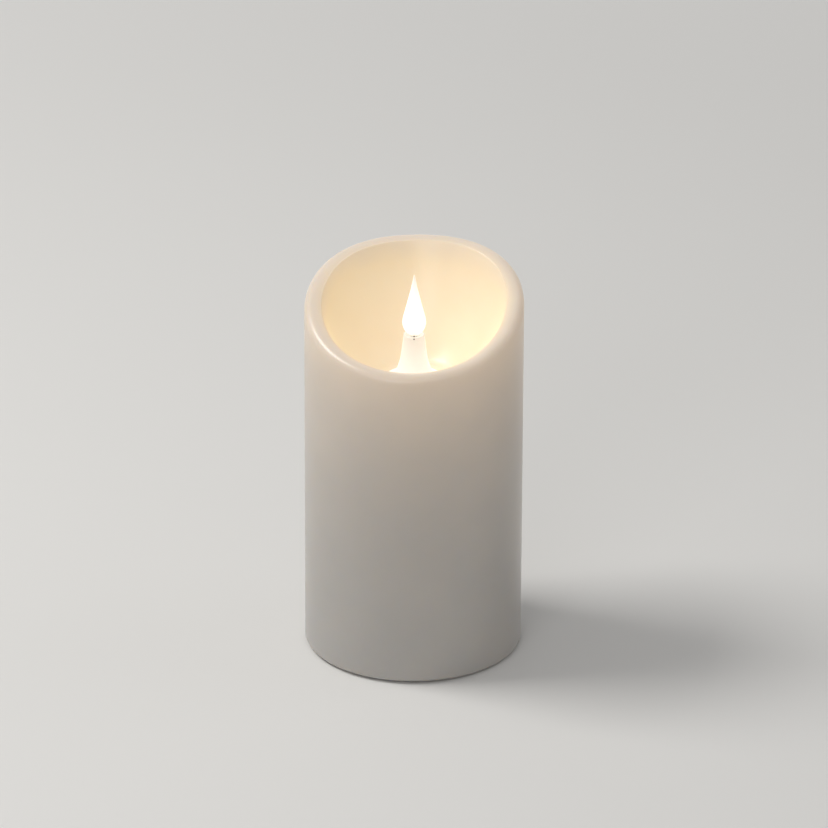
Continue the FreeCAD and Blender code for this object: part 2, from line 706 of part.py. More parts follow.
def make_core_screws():
    """The three screws that hold the base plate to the core cover."""
    seat = PLATE_BOTTOM + S["screw_head_height"] + S["pilot_gap"]
    screws = [
        screw(
            f"core_screw_{i}", S["core_screw_dia"], S["screw_head_dia"], S["screw_head_height"],
            S["boss_height"] * 0.6, x, y, seat,
        )
        for i, (x, y) in enumerate(ring_places(BOSS_CIRCLE, CORE_SCREW_ANGLES), start=1)
    ]
    return group("core_screws", screws)


# --- Cells, contacts and door -----------------------------------------------------------------------

SPRING_POINTS_PER_TURN = 12


def make_cell(label, side, bottom, upright):
    """A C cell: can, crimped rim and button. One stands with its button up and the other down."""
    x = CELL_PLACE * side
    can_height = S["cell_length"] - S["cell_nub"]
    can_bottom = bottom if upright else bottom + S["cell_nub"]
    nub_bottom = bottom + can_height if upright else bottom
    can = cylinder(label + "_can", CELL_RADIUS, can_height, x, NOTHING, can_bottom)
    groove_level = can_bottom + (can_height - 2.2 if upright else Size(1.4))
    groove_outer = cylinder(label + "_groove", CELL_RADIUS + 1, 0.8, x, NOTHING, groove_level)
    groove_inner = cylinder(label + "_waist", CELL_RADIUS - 0.5, 0.8, x, NOTHING, groove_level)
    groove = cut(label + "_groove_ring", groove_outer, [groove_inner])
    nub = cylinder(label + "_nub", S["cell_nub_dia"] / 2, S["cell_nub"], x, NOTHING, nub_bottom)
    return named(fuse(label + "_whole", [cut(label + "_body", can, [groove]), nub]), label)


def make_spring(label, side, bottom, wide_below):
    """A compressed conical contact spring: a round wire swept along a smooth tapering coil."""
    wire = S["spring_wire"].value / 2
    wide = S["spring_dia"].value / 2 - wire
    tip = S["spring_tip_dia"].value / 2 - wire
    rise = S["spring_length"].value - 2 * wire
    turns = S["spring_turns"].value
    steps = round(turns * SPRING_POINTS_PER_TURN)
    points = []
    for i in range(steps + 1):
        share = i / steps
        around = 2 * math.pi * turns * share
        radius = wide + (tip - wide) * share
        height = wire + rise * (share if wide_below else 1 - share)
        x = CELL_PLACE.value * side + radius * math.cos(around)
        points.append(Vector(x, radius * math.sin(around), bottom.value + height))
    curve = Part.BSplineCurve()
    curve.interpolate(points)
    spine = curve.toShape()
    section = Part.Wire(Part.makeCircle(wire, points[0], spine.tangentAt(spine.FirstParameter)))
    return shaped(label, Part.Wire(spine).makePipeShell([section], True, True))


def make_contacts():
    """The bridge on the door, and the two upper contacts with their solder lugs."""
    bridge_plate = block(
        "bridge_plate", CELL_PITCH + S["contact_width"], S["contact_width"],
        S["contact_thick"], z=PLATE_TOP,
    )
    named(bridge_plate, "bridge_contact")
    made = [bridge_plate]
    for label, side in (("positive_contact", -1), ("negative_contact", 1)):
        x = CELL_PLACE * side
        plate = block(
            label + "_plate", S["contact_width"], S["contact_width"], S["contact_thick"],
            x, NOTHING, UPPER_CONTACT,
        )
        back = S["contact_width"] / 2
        lug = block(
            label + "_lug", S["lug_width"], S["contact_thick"],
            S["contact_thick"] + S["chamber_ceiling"] + S["lug_height"],
            x, back + S["contact_thick"] / 2, UPPER_CONTACT,
        )
        made.append(named(fuse(label + "_whole", [plate, lug]), label))
    made.append(make_spring("bridge_spring", -1, LOWER_CONTACT, True))
    made.append(make_spring("negative_spring", 1, UPPER_CONTACT - S["spring_length"], False))
    return made


def make_door():
    """The battery door: a plate that hangs on two stub pins and is closed by one captive screw."""
    door = Moulding("battery_door")
    plate = door.sketch("door_outline", PLATE_BOTTOM)
    edge = DOOR_HALF_WIDTH
    draw_rounded(
        plate, S["hinge_relief"] - DOOR_HINGE, DOOR_END, -edge, edge, S["door_corner"]
    )
    door.pad(plate, S["plate_thick"])
    tongue = door.sketch("door_tongue", PLATE_BOTTOM)
    half = S["barrel_half_length"]
    draw_rectangle(tongue, -DOOR_HINGE, S["door_corner"] * 1.4 - DOOR_HINGE, -half, half)
    door.pad(tongue, S["plate_thick"])
    barrel = door.sketch("door_barrel", NOTHING, "XZ_Plane")
    draw_circle(barrel, BARREL_RADIUS, -DOOR_HINGE, HINGE_HEIGHT)
    door.pad(barrel, half * 2).Midplane = True
    pins = door.sketch("door_pins", NOTHING, "XZ_Plane")
    draw_circle(pins, S["hinge_pin_dia"] / 2, -DOOR_HINGE, HINGE_HEIGHT)
    door.pad(pins, (half + S["hinge_pin_length"]) * 2).Midplane = True
    bore = door.sketch("door_screw_bore", PLATE_BOTTOM)
    draw_circle(bore, S["door_screw_dia"] / 2 + S["pilot_gap"], DOOR_SCREW)
    door.pocket(bore, S["plate_thick"])
    head = door.sketch("door_screw_head", PLATE_BOTTOM)
    draw_circle(head, S["screw_head_dia"] / 2 + S["head_gap"], DOOR_SCREW)
    door.pocket(head, S["screw_head_height"] + S["pilot_gap"])
    grip = door.sketch("door_grips", PLATE_BOTTOM)
    for i in range(4):
        left = 18 + 2.4 * i
        draw_rectangle(grip, left, left + 1.2, -6, 6)
    door.pocket(grip, 0.6)
    return door.body


def make_door_screw():
    """The captive screw at the door's free end."""
    seat = PLATE_BOTTOM + S["screw_head_height"] + S["pilot_gap"]
    length = PLATE_TOP - seat + S["door_screw_reach"]
    made = screw(
        "door_screw_cut", S["door_screw_dia"], S["screw_head_dia"], S["screw_head_height"], length,
        DOOR_SCREW, NOTHING, seat,
    )
    return named(made, "door_screw")


# --- Switch and boards ------------------------------------------------------------------------------


def make_switch():
    """The three-position slide switch, its slider and its board."""
    y = -SWITCH_PLACE
    carriage_length = S["lever_length"] + 2
    carriage_width = S["switch_width"] - 2
    carriage_height = S["switch_height"] / 2 - S["slide_gap"] * 2
    carriage_level = SWITCH_BOTTOM + 0.8
    can = block(
        "switch_can", S["switch_length"], S["switch_width"], S["switch_height"], y=y,
        z=SWITCH_BOTTOM,
    )
    hollow = block(
        "switch_hollow", carriage_length + S["switch_travel"] + S["slide_gap"] * 2,
        carriage_width + S["slide_gap"] * 2, carriage_height + S["slide_gap"] * 2,
        y=y, z=carriage_level - S["slide_gap"],
    )
    window = block(
        "switch_window", S["lever_length"] + S["switch_travel"] + S["slide_gap"] * 2,
        S["lever_width"] + S["slide_gap"] * 2, 2, y=y, z=SWITCH_BOTTOM - 1,
    )
    body = named(cut("switch_cut", can, [hollow, window]), "switch_body")
    carriage = block(
        "switch_carriage", carriage_length, carriage_width, carriage_height, y=y, z=carriage_level
    )
    lever_bottom = PLATE_BOTTOM + S["lever_recess"]
    lever = block(
        "switch_lever", S["lever_length"], S["lever_width"], carriage_level - lever_bottom + 0.5,
        y=y, z=lever_bottom,
    )
    ridges = [
        block(f"switch_ridge_{i}", 0.5, S["lever_width"] + 1, 0.3, S["lever_length"] * step, y,
              lever_bottom)
        for i, step in enumerate((-0.25, 0, 0.25), start=1)
    ]
    slider = cut("slider_cut", fuse("slider_blank", [carriage, lever]), ridges)
    board = block(
        "switch_board_blank", S["switch_board_length"], S["switch_board_width"],
        S["switch_board_thick"], y=y, z=SWITCH_TOP,
    )
    holes = [
        cylinder(f"switch_board_hole_{i}", S["small_screw_dia"] / 2 + S["pilot_gap"], 4,
                 S["switch_post"] * side, y, SWITCH_TOP - 1)
        for i, side in enumerate((-1, 1), start=1)
    ]
    screws = [
        screw(f"switch_screw_{i}", S["small_screw_dia"], S["small_screw_dia"] * 1.9, Size(1.2),
              S["switch_height"] * 0.7, S["switch_post"] * side, y,
              SWITCH_TOP + S["switch_board_thick"], upwards=False)
        for i, side in enumerate((-1, 1), start=1)
    ]
    return [
        body, named(slider, "switch_slider"),
        named(cut("switch_board_cut", board, holes), "switch_board"),
        group("switch_screws", screws),
    ]


def make_main_board():
    """The control board on the chamber's posts, with the parts soldered to it."""
    blank = block(
        "main_board_blank", S["board_length"], S["board_width"], S["board_thick"], z=BOARD_BOTTOM
    )
    holes = [
        cylinder(f"main_board_hole_{i}", S["small_screw_dia"] / 2 + S["pilot_gap"], 4,
                 S["board_post_place"] * side, NOTHING, BOARD_BOTTOM - 1)
        for i, side in enumerate((-1, 1), start=1)
    ]
    screws = [
        screw(f"board_screw_{i}", S["small_screw_dia"], S["small_screw_dia"] * 1.9, Size(1.2),
              S["board_post"] * 0.5, S["board_post_place"] * side, NOTHING, BOARD_TOP,
              upwards=False)
        for i, side in enumerate((-1, 1), start=1)
    ]
    chip = block("chip_case", 6, 4, 1.5, -4, -3, BOARD_TOP + 0.2)
    legs = [
        block(f"chip_leg_{i}_{row}", 0.45, 1.1, 0.7, -5.9 + 1.27 * i, -3 + 2.45 * row, BOARD_TOP)
        for i in range(4) for row in (-1, 1)
    ]
    capacitor = cylinder("capacitor_can", 3.15, 10, 9, 5, BOARD_TOP + 0.4)
    stub = cylinder("capacitor_bung", 2.6, 0.4, 9, 5, BOARD_TOP)
    crystal = lying_cylinder("crystal_can", 1.1, 6, -13, -6, BOARD_TOP + 1.1)
    resistors = [
        block(f"resistor_{i}", 2, 1.25, 0.6, -15 + 4 * i, 7.5, BOARD_TOP) for i in range(4)
    ]
    transistors = [
        block(f"transistor_{i}", 2.9, 1.5, 1.1, 10 + 5.4 * i, -5.5, BOARD_TOP) for i in range(2)
    ]
    return [
        named(cut("main_board_cut", blank, holes), "main_board"),
        group("board_screws", screws),
        named(fuse("chip_whole", [chip] + legs), "timer_chip"),
        named(fuse("capacitor_whole", [capacitor, stub]), "capacitor"),
        named(crystal, "timing_crystal"),
        group("resistors", resistors),
        group("drive_transistors", transistors),
    ]


# --- Flame drive ------------------------------------------------------------------------------------


def lamp_axis(side):
    """A lamp's base point and upward direction. side is -1 for the front lamp and 1 for the rear."""
    tilt = math.radians(S["lamp_tilt"].value)
    base = Vector(0, side * LAMP_PLACE.value, (CARRIER_BOTTOM - S["lamp_drop"]).value)
    return base, Vector(0, -side * math.sin(tilt), math.cos(tilt))


def tilted(thing, side):
    """Lays an upright primitive along a lamp's axis, from the lamp's base point."""
    thing.Placement = Placement(Vector(), Rotation(X_AXIS, side * S["lamp_tilt"].value))
    return place(thing, y=LAMP_PLACE * side, z=CARRIER_BOTTOM - S["lamp_drop"])


def make_carrier():
    """The carrier under the cover's top: a disc with the coil's well and two tilted lamp bores."""
    carrier = Moulding("drive_carrier_blank")
    disc = carrier.sketch("carrier_disc", CARRIER_BOTTOM)
    draw_circle(disc, CARRIER_SCREW + S["carrier_margin"])
    carrier.pad(disc, S["carrier_thick"])
    well = carrier.sketch("carrier_well", WELL_BOTTOM)
    draw_circle(well, WELL_RADIUS + S["well_wall"])
    carrier.pad(well, CARRIER_BOTTOM - WELL_BOTTOM)
    bore = carrier.sketch("carrier_well_bore", BOBBIN_BOTTOM)
    draw_circle(bore, WELL_RADIUS)
    carrier.pocket(bore, CORE_CEILING - BOBBIN_BOTTOM)
    pin_hole = carrier.sketch("carrier_pin_hole", WELL_BOTTOM)
    draw_circle(pin_hole, S["pin_dia"] / 2 + S["pilot_gap"])
    carrier.pocket(pin_hole, S["well_floor"])
    screws = carrier.sketch("carrier_screw_bores", CARRIER_BOTTOM)
    for side in (-1, 1):
        draw_circle(screws, S["small_screw_dia"] / 2 + S["pilot_gap"], CARRIER_SCREW * side)
    carrier.pocket(screws, S["carrier_thick"])
    bores = [
        tilted(bind(DOC.addObject("Part::Cylinder", f"lamp_bore_{i}"),
                    Radius=S["lamp_dia"] / 2 + S["lamp_gap"], Height=S["lamp_length"]), side)
        for i, side in enumerate((-1, 1), start=1)
    ]
    return named(cut("carrier_cut", carrier.body, bores), "drive_carrier")


def make_carrier_screws():
    """The two screws that hold the carrier to the cover's top."""
    screws = [
        screw(f"carrier_screw_{i}", S["small_screw_dia"], S["small_screw_dia"] * 1.9, Size(1.2),
              S["carrier_thick"] + S["core_top"] * 0.6, CARRIER_SCREW * side, NOTHING,
              CARRIER_BOTTOM)
        for i, side in enumerate((-1, 1), start=1)
    ]
    return group("carrier_screws", screws)


def make_coil():
    """The electromagnet: a turned bobbin, its winding and its iron pin."""
    hub = S["bobbin_hub_dia"] / 2
    bore = S["pin_dia"] / 2 + S["pilot_gap"]
    bobbin = Moulding("coil_bobbin")
    profile = bobbin.sketch("bobbin_profile", NOTHING, "XZ_Plane")
    low, high = BOBBIN_BOTTOM, BOBBIN_TOP
    flange = S["bobbin_flange"]
    draw_polygon(profile, [
        (bore, low), (BOBBIN_RADIUS, low), (BOBBIN_RADIUS, low + flange), (hub, low + flange),
        (hub, high - flange), (BOBBIN_RADIUS, high - flange), (BOBBIN_RADIUS, high), (bore, high),
    ])
    bobbin.revolve(profile)
    height = S["bobbin_height"] - flange * 2 - S["pilot_gap"] * 2
    level = BOBBIN_BOTTOM + flange + S["pilot_gap"]
    outer = cylinder("winding_outer", S["winding_dia"] / 2, height, z=level)
    inner = cylinder("winding_inner", hub + S["pilot_gap"] / 2, height + 2, z=level - 1)
    pin = cylinder("coil_pin", S["pin_dia"] / 2, BOBBIN_TOP - WELL_BOTTOM + S["pin_rise"],
                   z=WELL_BOTTOM)
    return [bobbin.body, named(cut("winding_cut", outer, [inner]), "coil_winding"),
            named(pin, "coil_core")]


def make_lamp(label, side):
    """A warm white 5 mm lamp: flange, body and dome, with its two legs as a node beside it."""
    radius = S["lamp_dia"] / 2
    flange = bind(DOC.addObject("Part::Cylinder", label + "_flange"),
                  Radius=S["lamp_flange_dia"] / 2, Height=S["lamp_flange"])
    barrel = bind(DOC.addObject("Part::Cylinder", label + "_barrel"), Radius=radius,
                  Height=S["lamp_length"] - radius)
    dome = bind(DOC.addObject("Part::Sphere", label + "_dome"), Radius=radius)
    for thing in (flange, barrel):
        tilted(thing, side)
    base, axis = lamp_axis(side)
    reach = (S["lamp_length"] - radius).value
    dome.Placement = Placement(base + axis * reach, Rotation(X_AXIS, side * S["lamp_tilt"].value))
    legs = []
    for i, offset in enumerate((-1, 1), start=1):
        leg = bind(DOC.addObject("Part::Box", f"{label}_leg_{i}"), Length=S["lead_thick"],
                   Width=S["lead_thick"], Height=S["lead_length"])
        half = S["lead_thick"].value / 2
        across = offset * S["lead_pitch"].value / 2
        turn = Rotation(X_AXIS, side * S["lamp_tilt"].value)
        corner = Vector(across - half, -half, -S["lead_length"].value)
        leg.Placement = Placement(base + turn.multVec(corner), turn)
        legs.append(leg)
    return [named(fuse(label + "_whole", [flange, barrel, dome]), label),
            group(label + "_legs", legs)]


# --- Flame and collar -------------------------------------------------------------------------------


def smooth_edge(points):
    """An edge along a smooth curve through (radius, height) points in the XZ plane."""
    curve = Part.BSplineCurve()
    curve.interpolate([Vector(r, 0, z) for r, z in points])
    return curve.toShape()


def straight_edges(points):
    """Straight edges between (radius, height) points in the XZ plane."""
    places = [Vector(r, 0, z) for r, z in points]
    return [Part.LineSegment(a, b).toShape() for a, b in zip(places, places[1:])]


def turned(edges):
    """The solid that a closed outline in the XZ plane sweeps in a full turn about Z."""
    face = Part.Face(Part.Wire(edges))
    solid = face.revolve(Vector(), Z_AXIS, 360)
    return Part.Solid(solid.Shells[0]) if solid.ShapeType != "Solid" else solid


FLAME_SHAPE = ((0.0, 0.47), (0.03, 0.64), (0.085, 0.85), (0.18, 1.0), (0.27, 0.96), (0.39, 0.8),
               (0.51, 0.63), (0.64, 0.46), (0.76, 0.3), (0.87, 0.18), (1.0, 0.045))
COLLAR_SHAPE = ((0.84, 0.0), (0.69, 0.03), (0.57, 0.075), (0.45, 0.14), (0.36, 0.21), (0.3, 0.3),
                (0.215, 0.48), (0.15, 0.75), (0.1, 1.0))


def flame_profile(inset):
    """The flame's outline as (radius, height), moved in by a wall. Shares of radius and height."""
    radius = FLAME_RADIUS.value
    height = S["flame_height"].value
    points = []
    for up, out in FLAME_SHAPE:
        near_tip = inset * 4.5 * max(0.0, up - 0.7)
        points.append((max(radius * out - inset, 0.12), FLAME_BOTTOM.value + height * up - near_tip))
    return points


def make_flame_shell():
    """The flame: a thin teardrop shell, open below where its plug goes in."""
    outer = flame_profile(0.0)
    inner = flame_profile(S["flame_wall"].value)
    bottom = FLAME_BOTTOM.value
    inner[-1] = (0.12, inner[-1][1] - 2 * S["flame_wall"].value)
    tip = (0.0, FLAME_TIP.value + 0.2)
    inner_tip = (0.0, inner[-1][1] + 0.05)
    edges = (
        [smooth_edge(outer)] + straight_edges([outer[-1], tip, inner_tip, inner[-1]])
        + [smooth_edge(inner)] + straight_edges([inner[0], (outer[0][0], bottom)])
    )
    return shaped("flame_shell", turned(Part.__sortEdges__(edges)))


def plug_radius():
    """The radius of the tail's plug, just under the flame's opening."""
    return flame_profile(S["flame_wall"].value)[0][0] - 0.05


def make_flame_tail():
    """The flame's tail: a plug in the shell's mouth, and a blade with the pivot hole and a cup."""
    plug = DOC.addObject("Part::Cylinder", "tail_plug")
    bind(plug, Height=S["plug_thick"])
    plug.Radius = plug_radius()
    place(plug, z=FLAME_BOTTOM)
    blade = block("tail_blade", S["tail_width"], S["tail_thick"], FLAME_BOTTOM - TAIL_BOTTOM + 0.5,
                  z=TAIL_BOTTOM)
    cup = cylinder("tail_cup", S["magnet_dia"] / 2 + 0.6, 1.6, z=TAIL_BOTTOM - 0.6)
    hole = lying_cylinder("tail_hole", S["pivot_wire_dia"] / 2 + S["pivot_gap"], S["tail_thick"] * 3,
                          z=PIVOT_HEIGHT)
    seat = cylinder("tail_seat", S["magnet_dia"] / 2, 0.6, z=TAIL_BOTTOM - 0.6)
    magnet = cylinder("magnet_disc", S["magnet_dia"] / 2, S["magnet_height"],
                      z=TAIL_BOTTOM - S["magnet_height"])
    tail = cut("tail_cut", fuse("tail_blank", [plug, blade, cup]), [hole, seat])
    return [named(tail, "flame_tail"), named(magnet, "tail_magnet")]


def collar_profile():
    """The collar's outer outline as (radius, height), from its wide foot to its mouth."""
    mouth = COLLAR_RADIUS.value
    spread = COLLAR_FOOT_RADIUS.value
    foot = (BOWL_FLOOR + S["collar_edge"]).value
    rise = COLLAR_TOP.value - foot
    narrow = 0.1
    return [
        (mouth + (spread - mouth) * (out - narrow) / (COLLAR_SHAPE[0][0] - narrow), foot + rise * up)
        for out, up in COLLAR_SHAPE
    ]


def make_collar():
    """The light collar: a trumpet from the bowl's floor to the pivot, on a skirt in the core's mouth."""
    wall = S["collar_wall"].value
    outer = collar_profile()
    foot_radius, foot_level = outer[0]
    inner = [(r - wall, z) for r, z in outer[2:]]
    skirt = SKIRT_RADIUS.value
    skirt_bottom = (CORE_TOP - S["core_top"] * 0.75).value
    inner_start = (skirt - wall, foot_level)
    edges = (
        [smooth_edge(outer)]
        + straight_edges([outer[-1], inner[-1]])
        + [smooth_edge([inner_start] + inner)]
        + straight_edges([
            inner_start, (skirt - wall, skirt_bottom), (skirt, skirt_bottom),
            (skirt, BOWL_FLOOR.value), (foot_radius, BOWL_FLOOR.value), (foot_radius, foot_level),
        ])
    )
    blank = shaped("collar_blank", turned(Part.__sortEdges__(edges)))
    notch = lying_cylinder("collar_wire_bore", S["pivot_wire_dia"] / 2 + 0.02, S["collar_dia"] * 2,
                           z=PIVOT_HEIGHT)
    return named(cut("collar_cut", blank, [notch]), "light_collar")


def make_pivot_wire():
    """The steel wire that the flame hangs on. It runs front to back, through the collar's mouth."""
    length = S["collar_dia"] + S["pivot_overhang"] * 2
    return named(lying_cylinder("pivot_rod", S["pivot_wire_dia"] / 2, length,
                                z=PIVOT_HEIGHT), "pivot_wire")


# --- Leads ------------------------------------------------------------------------------------------


def lead_path(points):
    """Straight runs joined by tangent arcs, each arc as large as 0.45 of its shorter run allows."""
    edges = []
    start = points[0]
    for before, corner, after in zip(points, points[1:], points[2:]):
        towards = (before - corner).normalize()
        onward = (after - corner).normalize()
        shorter = min((before - corner).Length, (after - corner).Length)
        back = 0.45 * shorter
        bisector = (towards + onward).normalize()
        half_angle = towards.getAngle(onward) / 2
        radius = back * math.tan(half_angle)
        centre = corner + bisector * (back / math.cos(half_angle))
        enter = corner + towards * back
        leave = corner + onward * back
        middle = centre - bisector * radius
        edges.append(Part.LineSegment(start, enter).toShape())
        edges.append(Part.Arc(enter, middle, leave).toShape())
        start = leave
    edges.append(Part.LineSegment(start, points[-1]).toShape())
    return Part.Wire(edges)


def lead(points):
    """A round insulated lead along a route. Its volume is compared with its section and length."""
    places = [Vector(*p) for p in points]
    path = lead_path(places)
    radius = S["lead_dia"].value / 2
    along = (places[1] - places[0]).normalize()
    section = Part.Wire(Part.makeCircle(radius, places[0], along))
    tube = path.makePipeShell([section], True, False)
    wanted = math.pi * radius**2 * path.Length
    if abs(tube.Volume - wanted) > 0.02 * wanted:
        raise RuntimeError(f"a lead's volume is {tube.Volume:.2f} and not {wanted:.2f}")
    return tube


def leg_run(side, offset, beyond):
    """The point on a lamp leg's middle line that lies a distance beyond the leg's lower end."""
    base, axis = lamp_axis(side)
    end = base - axis * (S["lead_length"].value + beyond)
    return end.x + offset * S["lead_pitch"].value / 2, end.y, end.z


def make_leads():
    """Every lead, in five nodes: battery red and black, switch, coil and lamps."""
    board = BOARD_TOP.value
    under = BOARD_BOTTOM.value
    lug = CHAMBER_TOP.value + S["lug_height"].value
    lug_back = S["contact_width"].value / 2 + S["contact_thick"].value
    cell = CELL_PLACE.value
    edge = S["board_width"].value / 2
    made = []
    for label, side in (("red_battery_lead", -1), ("black_battery_lead", 1)):
        x = side * cell
        made.append(shaped(label, lead([
            (x, lug_back, lug - 1.5), (x, lug_back + 4.5, lug - 1.5),
            (x + side * 2, edge + 4, under - 2), (x + side * 3, edge + 4, board + 4),
            (x + side * 3, edge - 3, board + 5), (x + side * 3, edge - 3, board),
        ])))
    switch_y = -SWITCH_PLACE.value
    switch_board = (SWITCH_TOP + S["switch_board_thick"]).value
    switch_leads = [
        lead([
            (3 * i, switch_y + 1, switch_board), (3 * i, switch_y + 1, switch_board + 10),
            (2.6 * i, switch_y + 4, switch_board + 30), (2.4 * i, switch_y + 3, under - 6),
            (2.4 * i, -edge - 4, board + 5), (2.4 * i, 3 - edge, board + 6),
            (2.4 * i, 3 - edge, board),
        ])
        for i in (-1, 0, 1)
    ]
    made.append(shaped("switch_leads", Part.makeCompound(switch_leads)))
    well = (WELL_RADIUS + S["well_wall"]).value
    coil_leads = [
        lead([
            (side * 3, 0.8, WELL_BOTTOM.value), (side * 3, 0.8, WELL_BOTTOM.value - 5),
            (side * 5, 2, board + 15), (side * 4, 3 + side, board + 8), (side * 4, 3 + side, board),
        ])
        for side in (-1, 1)
    ]
    made.append(shaped("coil_leads", Part.makeCompound(coil_leads)))
    lamp_leads = []
    for side in (-1, 1):
        for offset in (-1, 1):
            x, y, z = leg_run(side, offset, 0)
            lamp_leads.append(lead([
                (x, y, z), leg_run(side, offset, 5), (x + offset * (well - 2), y - side, z - 14),
                (offset * 10 + side * 2, side * (edge - 2), board + 6),
                (offset * 10 + side * 2, side * (edge - 2), board),
            ]))
    made.append(shaped("lamp_leads", Part.makeCompound(lamp_leads)))
    return made


# --- Assembly ---------------------------------------------------------------------------------------


def build():
    """Makes every sub-part and returns those that are written out as nodes."""
    nodes = [make_wax_shell(), make_core_cover(), make_base_housing()]
    nodes += make_feet() + [make_core_screws()]
    nodes += [
        make_cell("battery_cell_1", -1, LOWER_CONTACT + S["spring_length"], True),
        make_cell("battery_cell_2", 1, LOWER_CONTACT, False),
    ]
    nodes += make_contacts() + [make_door(), make_door_screw()]
    nodes += make_switch() + make_main_board()
    nodes += [make_carrier(), make_carrier_screws()] + make_coil()
    nodes += make_lamp("front_lamp", -1) + make_lamp("rear_lamp", 1)
    nodes += [make_collar(), make_pivot_wire(), make_flame_shell()] + make_flame_tail()
    nodes += make_leads()
    return nodes


def write_out(nodes):
    """Checks every object and shape, then writes each node's STEP file."""
    DOC.recompute()
    failed = [o.Label for o in DOC.Objects if {"Invalid", "Error"} & set(o.State)]
    if failed:
        raise RuntimeError(f"these objects failed: {failed}")
    for node in nodes:
        if node.Shape.isNull() or not node.Shape.isValid() or not node.Shape.Solids:
            raise RuntimeError(f"{node.Label} has no valid solid")
    os.makedirs("parts", exist_ok=True)
    for node in nodes:
        node.Shape.exportStep(f"parts/{node.Label}.step")
    print(f"wrote {len(nodes)} nodes")


write_out(build())
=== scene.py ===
"""Looks of a flameless LED pillar candle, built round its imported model.

The wax, the flame and the light collar are smooth surfaces worked out on numpy grids. The moulded,
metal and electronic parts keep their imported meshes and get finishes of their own.
"""

import json
import logging
import math
from dataclasses import dataclass, field
from enum import Enum

import bpy
import numpy as np
from mathutils import Matrix, Vector


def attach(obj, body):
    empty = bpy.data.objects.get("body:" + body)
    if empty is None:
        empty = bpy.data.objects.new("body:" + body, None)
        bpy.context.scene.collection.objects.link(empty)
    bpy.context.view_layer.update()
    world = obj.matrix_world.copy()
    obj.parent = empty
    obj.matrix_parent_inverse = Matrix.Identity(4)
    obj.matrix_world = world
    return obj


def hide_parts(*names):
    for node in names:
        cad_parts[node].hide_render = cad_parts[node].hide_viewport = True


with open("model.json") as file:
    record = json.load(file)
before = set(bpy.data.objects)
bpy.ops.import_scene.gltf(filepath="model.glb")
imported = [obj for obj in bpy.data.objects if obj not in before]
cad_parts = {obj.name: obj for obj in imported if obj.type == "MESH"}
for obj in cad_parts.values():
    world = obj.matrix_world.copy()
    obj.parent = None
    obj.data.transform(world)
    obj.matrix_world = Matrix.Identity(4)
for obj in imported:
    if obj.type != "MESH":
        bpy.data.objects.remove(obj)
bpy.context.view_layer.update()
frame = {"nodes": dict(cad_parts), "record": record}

LOG = logging.getLogger("candle")
MM = 0.001
GLOW = "glow"
Colour = tuple[float, float, float]
Pair = tuple[float, float]


class Body(Enum):
    """The moving bodies that the new pieces ride on."""

    CANDLE = "candle"
    FLAME = "flame"


# --- Surfaces ----------------------------------------------------------------------------------------


def smooth_rows(rows: np.ndarray, steps: int) -> np.ndarray:
    """Carries a smooth curve through rows of points.

    Each span is a Catmull-Rom cubic: it passes through its two ends, and its slope at each end is half
    the vector between that end's two neighbours. The first and last rows are their own neighbours.

    Args:
        rows: Points as (row, column, 3).
        steps: How many new rows each span gets.

    Returns:
        The finer rows, as (row, column, 3), with the last row included.
    """
    padded = np.concatenate([rows[:1], rows, rows[-1:]])
    before, start, end, after = padded[:-3], padded[1:-2], padded[2:-1], padded[3:]
    share = (np.arange(steps) / steps)[:, None, None, None]
    fine = 0.5 * (
        2 * start
        + (end - before) * share
        + (2 * before - 5 * start + 4 * end - after) * share**2
        + (3 * start - before - 3 * end + after) * share**3
    )
    fine = np.swapaxes(fine, 0, 1).reshape(-1, rows.shape[1], 3)
    return np.concatenate([fine, rows[-1:]])


def ring_rows(radius: np.ndarray, height: np.ndarray, turns: np.ndarray) -> np.ndarray:
    """Places rings: x is radius times sine of the turn, y is minus radius times its cosine.

    Args:
        radius: Radii in millimetres, as (row, 1) or (row, column).
        height: Heights in millimetres, as (row, 1) or (row, column).
        turns: Turns from the front, in radians, as (column,).

    Returns:
        Points in metres, as (row, column, 3).
    """
    radius, height, turn = np.broadcast_arrays(radius, height, turns[None, :])
    return np.stack([radius * np.sin(turn), -radius * np.cos(turn), height], axis=-1) * MM


def grid_mesh(
    name: str, points: np.ndarray, close_rows: bool = False, cap_last: bool = False,
    cap_first: bool = False,
) -> bpy.types.Object:
    """Makes a smooth piece from a grid of points whose columns go all the way round.

    Each face joins two neighbouring columns of two neighbouring rows. A cap is a fan to a row's middle.

    Args:
        name: The piece's name.
        points: Points in metres, as (row, column, 3).
        close_rows: Whether the last row joins the first.
        cap_last: Whether the last row is closed by a fan.
        cap_first: Whether the first row is closed by a fan.

    Returns:
        The new object, at the origin.
    """
    count, columns = points.shape[:2]
    row = np.arange(count if close_rows else count - 1)[:, None]
    column = np.arange(columns)[None, :]
    following, beside = (row + 1) % count, (column + 1) % columns
    quads = np.stack(
        [row * columns + column, row * columns + beside, following * columns + beside,
         following * columns + column], axis=-1,
    ).reshape(-1, 4)
    vertices = points.reshape(-1, 3)
    faces = quads.tolist()
    ring = np.arange(columns)
    if cap_last:
        middle = len(vertices)
        vertices = np.concatenate([vertices, points[-1].mean(axis=0)[None]])
        base = (count - 1) * columns
        faces += np.stack(
            [base + ring, base + (ring + 1) % columns, np.full(columns, middle)], axis=-1
        ).tolist()
    if cap_first:
        middle = len(vertices)
        vertices = np.concatenate([vertices, points[0].mean(axis=0)[None]])
        faces += np.stack([(ring + 1) % columns, ring, np.full(columns, middle)], axis=-1).tolist()
    mesh = bpy.data.meshes.new(name)
    mesh.from_pydata(vertices.tolist(), [], faces)
    mesh.polygons.foreach_set("use_smooth", np.ones(len(faces), bool))
    mesh.update()
    made = bpy.data.objects.new(name, mesh)
    bpy.context.scene.collection.objects.link(made)
    return made


